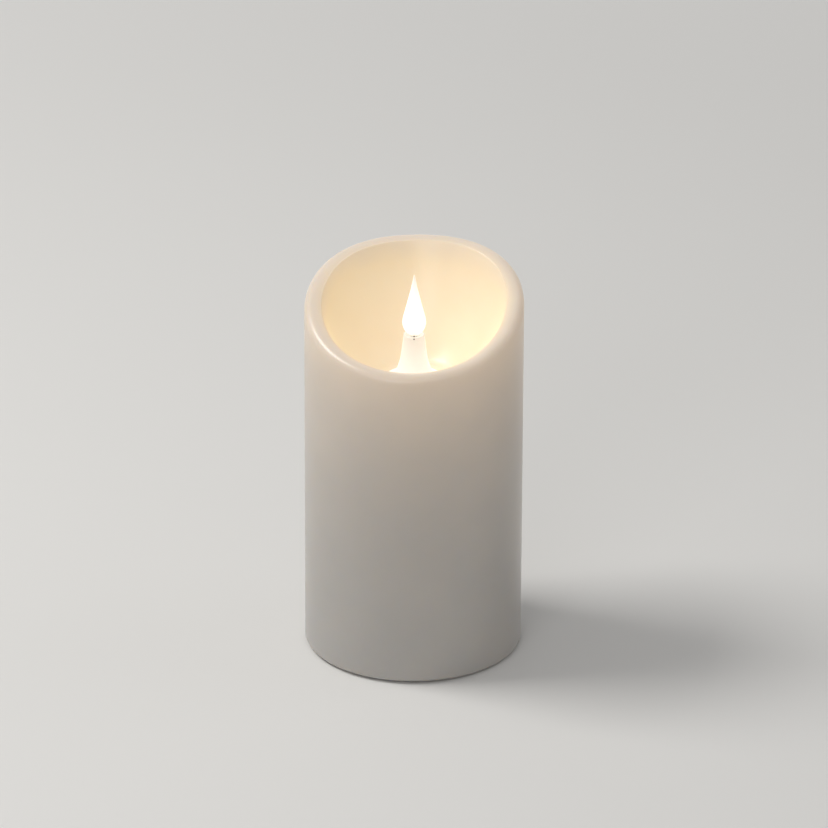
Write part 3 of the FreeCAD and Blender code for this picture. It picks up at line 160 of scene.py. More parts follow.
def paint(piece: bpy.types.Object, name: str, values: np.ndarray) -> None:
    """Stores one number per vertex in a named attribute of a piece.

    Args:
        piece: The piece to store it on.
        name: The attribute's name.
        values: One number per vertex.
    """
    made = piece.data.attributes.new(name, "FLOAT", "POINT")
    made.data.foreach_set("value", values.astype(np.float32))


def vertex_places(piece: bpy.types.Object) -> np.ndarray:
    """Reads a piece's vertices.

    Args:
        piece: The piece to read.

    Returns:
        Places in millimetres, as (vertex, 3).
    """
    places = np.empty(len(piece.data.vertices) * 3, np.float32)
    piece.data.vertices.foreach_get("co", places)
    return places.reshape(-1, 3) / MM


# --- Shader building ---------------------------------------------------------------------------------


@dataclass
class Shader:
    """A node tree that is wired by short calls."""

    tree: bpy.types.NodeTree

    def node(self, kind: str, inputs: dict | None = None, **settings) -> bpy.types.Node:
        """Adds a node.

        Args:
            kind: Blender's node type.
            inputs: Values or sockets by input name or index.
            **settings: Properties set on the node.

        Returns:
            The new node.
        """
        made = self.tree.nodes.new(kind)
        for name, value in settings.items():
            setattr(made, name, value)
        for key, value in (inputs or {}).items():
            self.feed(made.inputs[key], value)
        return made

    def feed(self, socket: bpy.types.NodeSocket, value: object) -> None:
        """Links a socket to another, or sets its value.

        Args:
            socket: The input socket.
            value: An output socket, or a plain value.
        """
        if isinstance(value, bpy.types.NodeSocket):
            self.tree.links.new(value, socket)
        else:
            socket.default_value = value

    def math(self, operation: str, a: object, b: object = 0.0) -> bpy.types.NodeSocket:
        """The result of a Math node on two numbers or sockets."""
        return self.node("ShaderNodeMath", {0: a, 1: b}, operation=operation).outputs[0]

    def ramp(self, factor: object, stops: list[tuple[float, Colour]]) -> bpy.types.NodeSocket:
        """A colour that a factor picks along a ramp.

        Args:
            factor: The socket that picks the place.
            stops: Places and linear colours, lowest place first.

        Returns:
            The colour socket.
        """
        made = self.node("ShaderNodeValToRGB", {"Fac": factor})
        for i, (place, colour) in enumerate(stops):
            stop = made.color_ramp.elements[i] if i < 2 else made.color_ramp.elements.new(place)
            stop.position = place
            stop.color = (*colour, 1.0)
        return made.outputs["Color"]

    def place(self) -> bpy.types.NodeSocket:
        """The object coordinates."""
        return self.node("ShaderNodeTexCoord").outputs["Object"]

    def scaled_sum(self, factor: object, scale: float, start: float) -> bpy.types.NodeSocket:
        """The factor times a scale, plus a starting number."""
        made = self.node("ShaderNodeMath", {0: factor, 1: scale, 2: start}, operation="MULTIPLY_ADD")
        return made.outputs[0]

    def between(self, value: object, source: Pair, target: Pair = (0.0, 1.0)) -> bpy.types.NodeSocket:
        """Maps a value from one span to another, and stops at the ends.

        Args:
            value: The socket to map.
            source: The span it comes from.
            target: The span it goes to.

        Returns:
            The mapped socket.
        """
        return self.node("ShaderNodeMapRange", {
            "Value": value, "From Min": source[0], "From Max": source[1], "To Min": target[0],
            "To Max": target[1],
        }).outputs["Result"]

    def bump(self, height: object, distance: float, strength: float = 1.0) -> bpy.types.NodeSocket:
        """A normal raised by a height.

        Args:
            height: The height socket, from 0 to 1.
            distance: How far 1 stands above 0, in metres.
            strength: How strongly it shows.

        Returns:
            The normal socket.
        """
        return self.node("ShaderNodeBump", {
            "Height": height, "Distance": distance, "Strength": strength,
        }).outputs["Normal"]


def group_tree(
    name: str, inputs: dict[str, float], outputs: dict[str, str]
) -> tuple[Shader, bpy.types.Node, bpy.types.Node]:
    """Starts a shader node group that takes a place and some numbers.

    Args:
        name: The group's name.
        inputs: Default numbers by input name.
        outputs: Socket types by output name.

    Returns:
        The group's shader, its input node and its output node.
    """
    tree = bpy.data.node_groups.new(name, "ShaderNodeTree")
    tree.interface.new_socket("Place", in_out="INPUT", socket_type="NodeSocketVector")
    for key, value in inputs.items():
        socket = tree.interface.new_socket(key, in_out="INPUT", socket_type="NodeSocketFloat")
        socket.default_value = value
    for key, kind in outputs.items():
        tree.interface.new_socket(key, in_out="OUTPUT", socket_type=kind)
    shader = Shader(tree)
    return shader, shader.node("NodeGroupInput"), shader.node("NodeGroupOutput")


def grain_group() -> bpy.types.NodeTree:
    """Moulded or cast grain: 0.35 of a fine noise added to 0.65 of a slow one.

    Returns:
        A group that takes Place, Scale and Mottle. It puts out Height, the fine noise, Swell, the
        slow one, and Tone, a blend of the two, all near 0 to 1.
    """
    shader, taken, given = group_tree(
        "surface_grain", {"Scale": 900.0, "Mottle": 60.0},
        {"Height": "NodeSocketFloat", "Tone": "NodeSocketFloat", "Swell": "NodeSocketFloat"},
    )
    fine = shader.node("ShaderNodeTexNoise", {
        "Vector": taken.outputs["Place"], "Scale": taken.outputs["Scale"], "Detail": 4.0,
    })
    slow = shader.node("ShaderNodeTexNoise", {
        "Vector": taken.outputs["Place"], "Scale": taken.outputs["Mottle"], "Detail": 2.0,
    })
    shader.feed(given.inputs["Height"], fine.outputs["Fac"])
    shader.feed(given.inputs["Swell"], slow.outputs["Fac"])
    fine_share = 0.35
    mixed = shader.math("ADD", shader.math("MULTIPLY", fine.outputs["Fac"], fine_share),
                        shader.math("MULTIPLY", slow.outputs["Fac"], 1 - fine_share))
    shader.feed(given.inputs["Tone"], mixed)
    return shader.tree


def scuff_group() -> bpy.types.NodeTree:
    """Handling scuffs: thin broken streaks from a stretched noise that is cut off near its top.

    Returns:
        A group that takes Place and Scale, and puts out Mask, which is 1 in a scuff.
    """
    shader, taken, given = group_tree("handling_scuffs", {"Scale": 140.0},
                                      {"Mask": "NodeSocketFloat"})
    stretch = (1.0, 0.22, 0.6)
    long = shader.node("ShaderNodeVectorMath", {0: taken.outputs["Place"], 1: stretch},
                       operation="MULTIPLY")
    noise = shader.node("ShaderNodeTexNoise", {
        "Vector": long.outputs[0], "Scale": taken.outputs["Scale"], "Detail": 6.0,
        "Roughness": 0.7,
    })
    shader.feed(given.inputs["Mask"], shader.between(noise.outputs["Fac"], (0.60, 0.72)))
    return shader.tree


@dataclass(frozen=True)
class Effects:
    """The shared shader groups."""

    grain: bpy.types.NodeTree
    scuffs: bpy.types.NodeTree


EFFECTS = Effects(grain_group(), scuff_group())


# --- Finishes ----------------------------------------------------------------------------------------


def new_material(name: str) -> tuple[bpy.types.Material, Shader, bpy.types.Node]:
    """An empty material with its Principled shader wired to the output.

    Args:
        name: The material's name.

    Returns:
        The material, its shader builder and its Principled node.
    """
    material = bpy.data.materials.new(name)
    material.use_nodes = True
    material.node_tree.nodes.clear()
    shader = Shader(material.node_tree)
    surface = shader.node("ShaderNodeBsdfPrincipled")
    shader.node("ShaderNodeOutputMaterial", {"Surface": surface.outputs["BSDF"]})
    return material, shader, surface


@dataclass(frozen=True)
class GrainedFinish:
    """Plastic, rubber, metal or lacquer with grain, mottled tone and scuffs.

    Attributes:
        name: The material's name.
        low: Linear colour in the grain's low tone.
        high: Linear colour in its high tone.
        rough: Least and greatest roughness.
        scale: Fineness of the grain, in cycles per metre.
        mottle: Fineness of the slow tone.
        depth: Height of the grain in metres.
        metal: How metallic it is.
        coat: Clear coat weight.
        scuff: How much a scuff adds to the roughness.
        span: The tones that the two colours stand at.
    """

    name: str
    low: Colour
    high: Colour
    rough: Pair = (0.4, 0.55)
    scale: float = 900.0
    mottle: float = 60.0
    depth: float = 0.00002
    metal: float = 0.0
    coat: float = 0.0
    scuff: float = 0.12
    span: Pair = (0.32, 0.68)

    def build(self) -> bpy.types.Material:
        """Makes the material.

        Returns:
            The finished material.
        """
        material, shader, surface = new_material(self.name)
        place = shader.place()
        grain = shader.node("ShaderNodeGroup", node_tree=EFFECTS.grain)
        scuffs = shader.node("ShaderNodeGroup", node_tree=EFFECTS.scuffs)
        shader.feed(grain.inputs["Place"], place)
        shader.feed(scuffs.inputs["Place"], place)
        grain.inputs["Scale"].default_value = self.scale
        grain.inputs["Mottle"].default_value = self.mottle
        tone = grain.outputs["Tone"]
        shader.feed(surface.inputs["Base Color"],
                    shader.ramp(tone, [(self.span[0], self.low), (self.span[1], self.high)]))
        rough = shader.between(tone, (0.3, 0.7), self.rough)
        worn = shader.math("MULTIPLY", scuffs.outputs["Mask"], self.scuff)
        shader.feed(surface.inputs["Roughness"], shader.math("ADD", rough, worn))
        shader.feed(surface.inputs["Normal"],
                    shader.bump(grain.outputs["Height"], self.depth, 0.6))
        surface.inputs["Metallic"].default_value = self.metal
        surface.inputs["Coat Weight"].default_value = self.coat
        return material


@dataclass(frozen=True)
class RibbedFinish:
    """Wound wire: fine ribs stacked along the height, with a lacquered gloss.

    Attributes:
        name: The material's name.
        low: Linear colour between the ribs, which is painted shade in the grooves.
        high: Linear colour on a rib.
        pitch: Distance from rib to rib in metres.
        depth: Height of a rib in metres.
        metal: How metallic it is.
        rough: Roughness.
    """

    name: str
    low: Colour
    high: Colour
    pitch: float = 0.00028
    depth: float = 0.00008
    metal: float = 0.85
    rough: float = 0.32

    def build(self) -> bpy.types.Material:
        """Makes the material. A rib's height is a sine of the height over the wire's pitch.

        Returns:
            The finished material.
        """
        material, shader, surface = new_material(self.name)
        height = shader.node("ShaderNodeSeparateXYZ", {0: shader.place()}).outputs["Z"]
        wave = shader.math("SINE", shader.math("MULTIPLY", height, 2 * math.pi / self.pitch))
        rib = shader.scaled_sum(wave, 0.5, 0.5)
        # Painted shade: the base colour is darker between the ribs, where the turns of wire shade each
        # other.
        shader.feed(surface.inputs["Base Color"],
                    shader.ramp(rib, [(0.1, self.low), (0.9, self.high)]))
        shader.feed(surface.inputs["Normal"], shader.bump(rib, self.depth))
        surface.inputs["Metallic"].default_value = self.metal
        surface.inputs["Roughness"].default_value = self.rough
        return material


@dataclass(frozen=True)
class BoardFinish:
    """A lacquered circuit board: tracks are the cell walls of a square pattern under green lacquer.

    Attributes:
        name: The material's name.
        lacquer: Linear colour of the bare board.
        track: Linear colour over a track.
        scale: Fineness of the pattern, in cells per metre.
        edge: Distances from a cell's middle at which its wall starts and is full.
        depth: Height of a track in metres.
        rough: Roughness.
        coat: Clear coat weight.
    """

    name: str
    lacquer: Colour
    track: Colour
    scale: float = 320.0
    edge: Pair = (0.38, 0.44)
    depth: float = 0.00003
    rough: float = 0.28
    coat: float = 0.5

    def build(self) -> bpy.types.Material:
        """Makes the material.

        Returns:
            The finished material.
        """
        material, shader, surface = new_material(self.name)
        cells = shader.node("ShaderNodeTexVoronoi", {"Vector": shader.place(), "Scale": self.scale},
                            feature="F1", distance="CHEBYCHEV")
        walls = shader.between(cells.outputs["Distance"], self.edge)
        shader.feed(surface.inputs["Base Color"],
                    shader.ramp(walls, [(0.4, self.lacquer), (0.6, self.track)]))
        shader.feed(surface.inputs["Normal"], shader.bump(walls, self.depth))
        surface.inputs["Roughness"].default_value = self.rough
        surface.inputs["Coat Weight"].default_value = self.coat
        return material


@dataclass(frozen=True)
class JacketFinish:
    """A cell's printed jacket: dark for most of its height, then a copper-coloured band.

    Attributes:
        name: The material's name.
        dark: Linear colour of the lower part.
        band: Linear colour of the band.
        band_height: Height at which the band starts, in metres.
        rough: Least and greatest roughness.
        metal: How metallic it is.
    """

    name: str
    dark: Colour = (0.02, 0.022, 0.028)
    band: Colour = (0.52, 0.25, 0.10)
    band_height: float = 0.043
    rough: Pair = (0.22, 0.42)
    metal: float = 0.6

    def build(self) -> bpy.types.Material:
        """Makes the material.

        Returns:
            The finished material.
        """
        material, shader, surface = new_material(self.name)
        height = shader.node("ShaderNodeSeparateXYZ", {0: shader.place()}).outputs["Z"]
        grain = shader.node("ShaderNodeGroup", node_tree=EFFECTS.grain)
        shader.feed(grain.inputs["Place"], shader.place())
        above = shader.math("GREATER_THAN", height, self.band_height)
        shader.feed(surface.inputs["Base Color"],
                    shader.ramp(above, [(0.45, self.dark), (0.55, self.band)]))
        low, high = self.rough
        shader.feed(surface.inputs["Roughness"],
                    shader.scaled_sum(grain.outputs["Tone"], high - low, low))
        surface.inputs["Metallic"].default_value = self.metal
        return material


@dataclass(frozen=True)
class WaxFinish:
    """Cream candle wax, lit from within by painted light. The piece's glow says how much gets through.

    Attributes:
        name: The material's name.
        shade: Linear wax colour where little light gets through, with no painted light.
        lit: Linear wax colour where much does; the shift towards it is painted light.
        ember: Linear colour of the light that has come through thick wax.
        pale: Linear colour of the light in the lip.
        amber: Linear colour of the light on the far side of the bowl.
        flare: Linear colour of the light near the flame.
        steps: The glow at which the light is ember, pale and amber.
        cloud: How strongly the slow tone clouds the wax.
        mottle: Fineness of the slow tone.
        depth: Height of the slow swell in metres.
        rough: Roughness.
        depth_weight: Share of the light that goes under the surface.
        spread: How far red, green and blue go there, each by its share.
        reach: The distance that a share of 1 goes, in metres.
        coat: Clear coat weight outside and in the bowl.
        coat_rough: Roughness of the clear coat.
    """

    name: str
    shade: Colour = (0.42, 0.405, 0.385)
    lit: Colour = (0.66, 0.58, 0.475)
    ember: Colour = (0.195, 0.130, 0.075)
    pale: Colour = (0.27, 0.20, 0.14)
    amber: Colour = (0.39, 0.275, 0.125)
    flare: Colour = (0.44, 0.37, 0.27)
    steps: tuple[float, float, float] = (0.42, 0.5, 0.63)
    cloud: float = 0.22
    mottle: float = 34.0
    depth: float = 0.0006
    rough: float = 0.31
    depth_weight: float = 0.35
    spread: tuple[float, float, float] = (1.0, 0.55, 0.25)
    reach: float = 0.004
    coat: Pair = (0.13, 0.03)
    coat_rough: float = 0.2

    def build(self) -> bpy.types.Material:
        """Makes the material.

        Returns:
            The finished material.
        """
        material, shader, surface = new_material(self.name)
        glow = shader.node("ShaderNodeAttribute", attribute_name=GLOW).outputs["Fac"]
        grain = shader.node("ShaderNodeGroup", node_tree=EFFECTS.grain)
        shader.feed(grain.inputs["Place"], shader.place())
        grain.inputs["Mottle"].default_value = self.mottle
        swell = grain.outputs["Swell"]
        cloud = shader.math("MULTIPLY", shader.math("SUBTRACT", swell, 0.5), self.cloud)
        # Painted light: the base colour runs from shade to the lighter, warmer lit colour as the painted
        # glow rises. The slow cloud is the wax's own random tone.
        painted_glow_and_cloud = shader.math("ADD", glow, cloud)
        shader.feed(surface.inputs["Base Color"],
                    shader.ramp(painted_glow_and_cloud, [(0.0, self.shade), (0.9, self.lit)]))
        # Painted light: the emission is a glow painted on the wax in place of the light behind it, made
        # patchy by the cloud.
        painted_glow_patchy = shader.math("ADD", glow, shader.math("MULTIPLY", cloud, glow))
        ember, pale, amber = self.steps
        shader.feed(surface.inputs["Emission Color"], shader.ramp(painted_glow_patchy, [
            (0.0, (0.0, 0.0, 0.0)), (ember, self.ember), (pale, self.pale), (amber, self.amber),
            (1.0, self.flare),
        ]))
        surface.inputs["Emission Strength"].default_value = 1.0
        surface.inputs["Roughness"].default_value = self.rough
        shader.feed(surface.inputs["Normal"], shader.bump(swell, self.depth, 0.5))
        surface.inputs["Subsurface Weight"].default_value = self.depth_weight
        surface.inputs["Subsurface Radius"].default_value = self.spread
        surface.inputs["Subsurface Scale"].default_value = self.reach
        shader.feed(surface.inputs["Coat Weight"], shader.between(glow, (0.5, 0.6), self.coat))
        surface.inputs["Coat Roughness"].default_value = self.coat_rough
        return material


@dataclass(frozen=True)
class GlowFinish:
    """Translucent plastic with a light behind it. The piece's glow runs from its dim to its bright.

    Attributes:
        name: The material's name.
        body: Linear colour of the plastic.
        dim: Linear colour of the light where the glow is 0.
        bright: Linear colour of the light where the glow is 1.
        strength: Strength of the light.
        depth: Height of the grain in metres.
        rough: Roughness.
        depth_weight: Share of the light that goes under the surface.
        reach: How far it goes there, in metres.
    """

    name: str
    body: Colour
    dim: Colour
    bright: Colour
    strength: float = 1.0
    depth: float = 0.00002
    rough: float = 0.22
    depth_weight: float = 0.2
    reach: float = 0.002

    def build(self) -> bpy.types.Material:
        """Makes the material.

        Returns:
            The finished material.
        """
        material, shader, surface = new_material(self.name)
        glow = shader.node("ShaderNodeAttribute", attribute_name=GLOW).outputs["Fac"]
        grain = shader.node("ShaderNodeGroup", node_tree=EFFECTS.grain)
        shader.feed(grain.inputs["Place"], shader.place())
        shader.feed(surface.inputs["Emission Color"],
                    shader.ramp(glow, [(0.0, self.dim), (1.0, self.bright)]))
        shader.feed(surface.inputs["Normal"],
                    shader.bump(grain.outputs["Height"], self.depth, 0.4))
        surface.inputs["Base Color"].default_value = (*self.body, 1.0)
        surface.inputs["Emission Strength"].default_value = self.strength
        surface.inputs["Roughness"].default_value = self.rough
        surface.inputs["Subsurface Weight"].default_value = self.depth_weight
        surface.inputs["Subsurface Scale"].default_value = self.reach
        return material


# --- The wax -----------------------------------------------------------------------------------------


@dataclass
class WaxPillar:
    """The wax pillar, with its wavy melted rim and its bowl. Sizes are in millimetres.

    The fields from edge_in to bowl_power shape the bowl. Those from flame_height on say how the
    painted light fades in the wax.
    """

    radius: float = 50.0
    crest: float = 183.4
    dip: float = 29.4
    dip_power: float = 1.3
    lean: float = 1.6
    ripple: float = 0.5
    ripple_waves: int = 3
    ripple_phase: float = 20.0
    lip: float = 3.8
    lip_spread: float = 1.5
    edge_in: float = 2.2
    edge_drop: float = 0.55
    bowl_power: float = 1.7
    floor: float = 131.0
    flat_radius: float = 17.0
    hole_radius: float = 12.9
    hole_depth: float = 4.0
    cavity_radius: float = 43.2
    cavity_top: float = 122.6
    seat_radius: float = 46.3
    seat_top: float = 4.6
    wall_split: float = 64.6
    foot: float = 0.8
    foot_round: float = 2.0
    flame_height: float = 150.0
    flame_squash: float = 0.6
    bowl_glow: float = 0.64
    bowl_reach: float = 25.0
    wall_glow: float = 0.46
    wall_reach: float = 46.0
    blend_start: float = 0.4
    blend: float = 3.4
    columns: int = 256
    turns: np.ndarray = field(init=False)

    def __post_init__(self) -> None:
        """Spaces the columns evenly round the candle."""
        self.turns = np.arange(self.columns) * (2 * math.pi / self.columns)

    def rim(self) -> np.ndarray:
        """The crest's height at each column.

        It is the highest level, less a raised cosine to a power that is deepest at the front, plus a
        sine that leans it to one side, plus a small ripple.

        Returns:
            Heights as (1, column).
        """
        dip = self.dip * ((1 + np.cos(self.turns)) / 2) ** self.dip_power
        wave = np.cos(self.ripple_waves * self.turns + math.radians(self.ripple_phase))
        return (self.crest - self.ripple - dip + self.lean * np.sin(self.turns)
                + self.ripple * wave)[None, :]

    def lip_and_bowl(self) -> np.ndarray:
        """Rings over the lip and down the bowl.

        The lip is a quarter circle outside its crest and a wider roll inside it. The bowl's height
        above its floor is the height of the lip's inner edge above it, times the share of the way
        out to a power.

        Returns:
            Points in metres, as (row, column, 3).
        """
        rim = self.rim()
        swing = np.radians(np.array([0, 25, 50, 75, 100, 125]))[:, None]
        reach = np.where(np.cos(swing) < 0, self.lip * self.lip_spread, self.lip)
        lip = ring_rows(self.radius - self.lip + reach * np.cos(swing),
                        rim - self.lip * (1 - np.sin(swing)), self.turns)
        share = np.array([1.0, 0.86, 0.7, 0.53, 0.35, 0.17, 0.06, 0.0])[:, None]
        across = self.radius - self.edge_in * self.lip - self.flat_radius
        up = rim - self.edge_drop * self.lip - self.floor
        bowl = ring_rows(self.flat_radius + across * share, self.floor + up * share**self.bowl_power,
                         self.turns)
        return smooth_rows(np.concatenate([lip, bowl]), 9)

    def foot_and_wall(self) -> np.ndarray:
        """Rings from the foot's quarter circle up the outer wall to the lip's lower edge.

        Returns:
            Points in metres, as (row, column, 3).
        """
        swing = np.radians(np.linspace(0, 90, 8))[:, None]
        foot = ring_rows(self.radius - self.foot_round + self.foot_round * np.sin(swing),
                         self.foot + self.foot_round * (1 - np.cos(swing)), self.turns)
        share = (np.linspace(0, 1, 60)[1:-1])[:, None]
        low = self.foot + self.foot_round
        wall = ring_rows(np.full_like(share, self.radius),
                         low + (self.rim() - self.lip - low) * share, self.turns)
        return np.concatenate([foot, wall])

    def inside(self) -> np.ndarray:
        """Rings down the flame's hole, over the cavity's ceiling, down its wall and out to the foot.

        Returns:
            Points in metres, as (row, column, 3).
        """
        radius = np.array([self.hole_radius, self.hole_radius, self.hole_radius,
                           self.cavity_radius, self.cavity_radius, self.cavity_radius,
                           self.seat_radius, self.seat_radius])[:, None]
        height = np.array([self.floor, self.floor - self.hole_depth, self.cavity_top,
                           self.cavity_top, self.wall_split, self.seat_top, self.seat_top,
                           self.foot])[:, None]
        return ring_rows(radius, height, self.turns)

    def glow(self, places: np.ndarray) -> np.ndarray:
        """How much painted light gets through at each place, from 0 to 1.

        In the bowl it falls off with the square of the distance from the flame, as a bell curve does.
        On the outer wall it falls off with the depth below the rim. Across the lip one blends into
        the other by a smooth step.

        Args:
            places: Places in millimetres, as (vertex, 3).

        Returns:
            One glow per place.
        """
        x, y, z = places.T
        out = np.hypot(x, y)
        turn = np.arctan2(x, -y)
        rim = np.interp(np.mod(turn, 2 * math.pi), np.append(self.turns, 2 * math.pi),
                        np.append(self.rim()[0], self.rim()[0, 0]))
        flame = np.sqrt(x**2 + y**2 + (self.flame_squash * (z - self.flame_height)) ** 2)
        bowl = self.bowl_glow + (1 - self.bowl_glow) * np.exp(-((flame / self.bowl_reach) ** 2))
        wall = self.wall_glow * np.exp(-np.maximum(rim - z, 0) / self.wall_reach)
        inward = np.clip((self.radius - self.blend_start - out) / (self.blend * self.lip), 0, 1)
        above_floor = z > self.floor - 0.5
        inward = inward * inward * (3 - 2 * inward) * above_floor
        return wall * (1 - inward) + bowl * inward

    def build(self) -> bpy.types.Object:
        """Makes the wax piece.

        Returns:
            The wax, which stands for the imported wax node.
        """
        points = np.concatenate([self.foot_and_wall(), self.lip_and_bowl(), self.inside()])
        piece = grid_mesh("wax_pillar", points, close_rows=True)
        # Paints the glow that drives the wax's painted light.
        paint(piece, GLOW, self.glow(vertex_places(piece)))
        piece.data.materials.append(WaxFinish("cream_wax").build())
        finish_piece(piece, Body.CANDLE, ["wax_shell"])
        return piece


def finish_piece(piece: bpy.types.Object, body: Body, nodes: list[str]) -> None:
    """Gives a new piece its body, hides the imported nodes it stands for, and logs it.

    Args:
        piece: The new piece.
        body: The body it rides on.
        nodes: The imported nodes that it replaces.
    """
    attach(piece, body.value)
    if nodes:
        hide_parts(*nodes)
    LOG.info("%s: %d faces, rides on %s", piece.name, len(piece.data.polygons), body.value)


# --- Flame and collar --------------------------------------------------------------------------------


@dataclass
class Flame:
    """The swinging flame. Sizes are in millimetres."""

    bottom: float = 153.6
    height: float = 29.1
    radius: float = 5.35
    tip_start: float = 0.55
    root_end: float = 0.12
    columns: int = 96

    def rings(self) -> np.ndarray:
        """A teardrop: each ring's radius is a share of the widest, by its share of the height.

        Returns:
            Points in metres, as (row, column, 3).
        """
        shares = np.array([
            [0.0, 0.47], [0.03, 0.64], [0.085, 0.85], [0.18, 1.0], [0.27, 0.96], [0.39, 0.8],
            [0.51, 0.63], [0.64, 0.46], [0.76, 0.3], [0.87, 0.18], [1.0, 0.045],
        ])
        turns = np.arange(self.columns) * (2 * math.pi / self.columns)
        rows = ring_rows(self.radius * shares[:, 1:], self.bottom + self.height * shares[:, :1],
                         turns)
        return smooth_rows(rows, 10)

    def build(self) -> bpy.types.Object:
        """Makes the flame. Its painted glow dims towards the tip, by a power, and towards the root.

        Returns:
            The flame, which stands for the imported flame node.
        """
        piece = grid_mesh("lit_flame", self.rings(), cap_last=True, cap_first=True)
        up = (vertex_places(piece)[:, 2] - self.bottom) / self.height
        tip = np.clip((up - self.tip_start) / (1 - self.tip_start), 0, 1) ** 1.6
        root = np.clip(1 - up / self.root_end, 0, 1)
        # Painted light: the plastic flame's emission stands in for the light that shines up through it.
        paint(piece, GLOW, np.clip(1 - tip - 0.8 * root, 0, 1))
        piece.data.materials.append(GlowFinish(
            "flame_plastic", (0.50, 0.48, 0.45), (0.66, 0.56, 0.45), (0.84, 0.81, 0.77),
        ).build())
        piece.visible_shadow = False
        finish_piece(piece, Body.FLAME, ["flame_shell"])
        return piece


@dataclass
class Collar:
    """The light collar that the flame rises from. Sizes are in millimetres."""

    foot: float = 131.0
    edge: float = 0.3
    top: float = 153.5
    mouth: float = 4.8
    spread: float = 13.8
    wall: float = 1.0
    skirt: float = 12.6
    skirt_bottom: float = 119.0
    top_dimming: float = 0.75
    columns: int = 96

    def rings(self) -> np.ndarray:
        """A trumpet outside and in, closed by its skirt.

        The outside's radius goes from the spread to the mouth as a share falls from its first value
        to its last, and the inside is the same curve, a wall's thickness in.

        Returns:
            Points in metres, as (row, column, 3).
        """
        shares = np.array([
            [0.84, 0.0], [0.69, 0.03], [0.57, 0.075], [0.45, 0.14], [0.36, 0.21], [0.3, 0.3],
            [0.215, 0.48], [0.15, 0.75], [0.1, 1.0],
        ])
        turns = np.arange(self.columns) * (2 * math.pi / self.columns)
        low, bore = self.foot + self.edge, self.skirt - self.wall
        first, last = shares[0, 0], shares[-1, 0]
        out = self.mouth + (self.spread - self.mouth) * (shares[:, :1] - last) / (first - last)
        up = low + (self.top - low) * shares[:, 1:]
        outside = smooth_rows(ring_rows(out, up, turns), 8)
        inner_out = np.concatenate([out[:1:-1] - self.wall, [[bore]]])
        inner_up = np.concatenate([up[:1:-1], [[low]]])
        inside = smooth_rows(ring_rows(inner_out, inner_up, turns), 8)
        skirt = ring_rows(
            np.array([bore, self.skirt, self.skirt, self.spread])[:, None],
            np.array([self.skirt_bottom, self.skirt_bottom, self.foot, self.foot])[:, None], turns)
        return np.concatenate([outside, inside, skirt])

    def build(self) -> bpy.types.Object:
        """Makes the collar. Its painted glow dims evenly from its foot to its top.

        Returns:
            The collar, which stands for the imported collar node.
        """
        piece = grid_mesh("lit_collar", self.rings(), close_rows=True)
        rise = (vertex_places(piece)[:, 2] - self.foot) / (self.top - self.foot)
        # Painted light: the collar's emission stands in for the light that shines through it, brightest
        # at its foot.
        paint(piece, GLOW, np.clip(1 - self.top_dimming * rise, 0, 1))
        piece.data.materials.append(GlowFinish(
            "collar_plastic", (0.40, 0.385, 0.36), (0.50, 0.43, 0.34), (0.80, 0.75, 0.67),
        ).build())
        piece.visible_shadow = False
        finish_piece(piece, Body.CANDLE, ["light_collar"])
        return piece


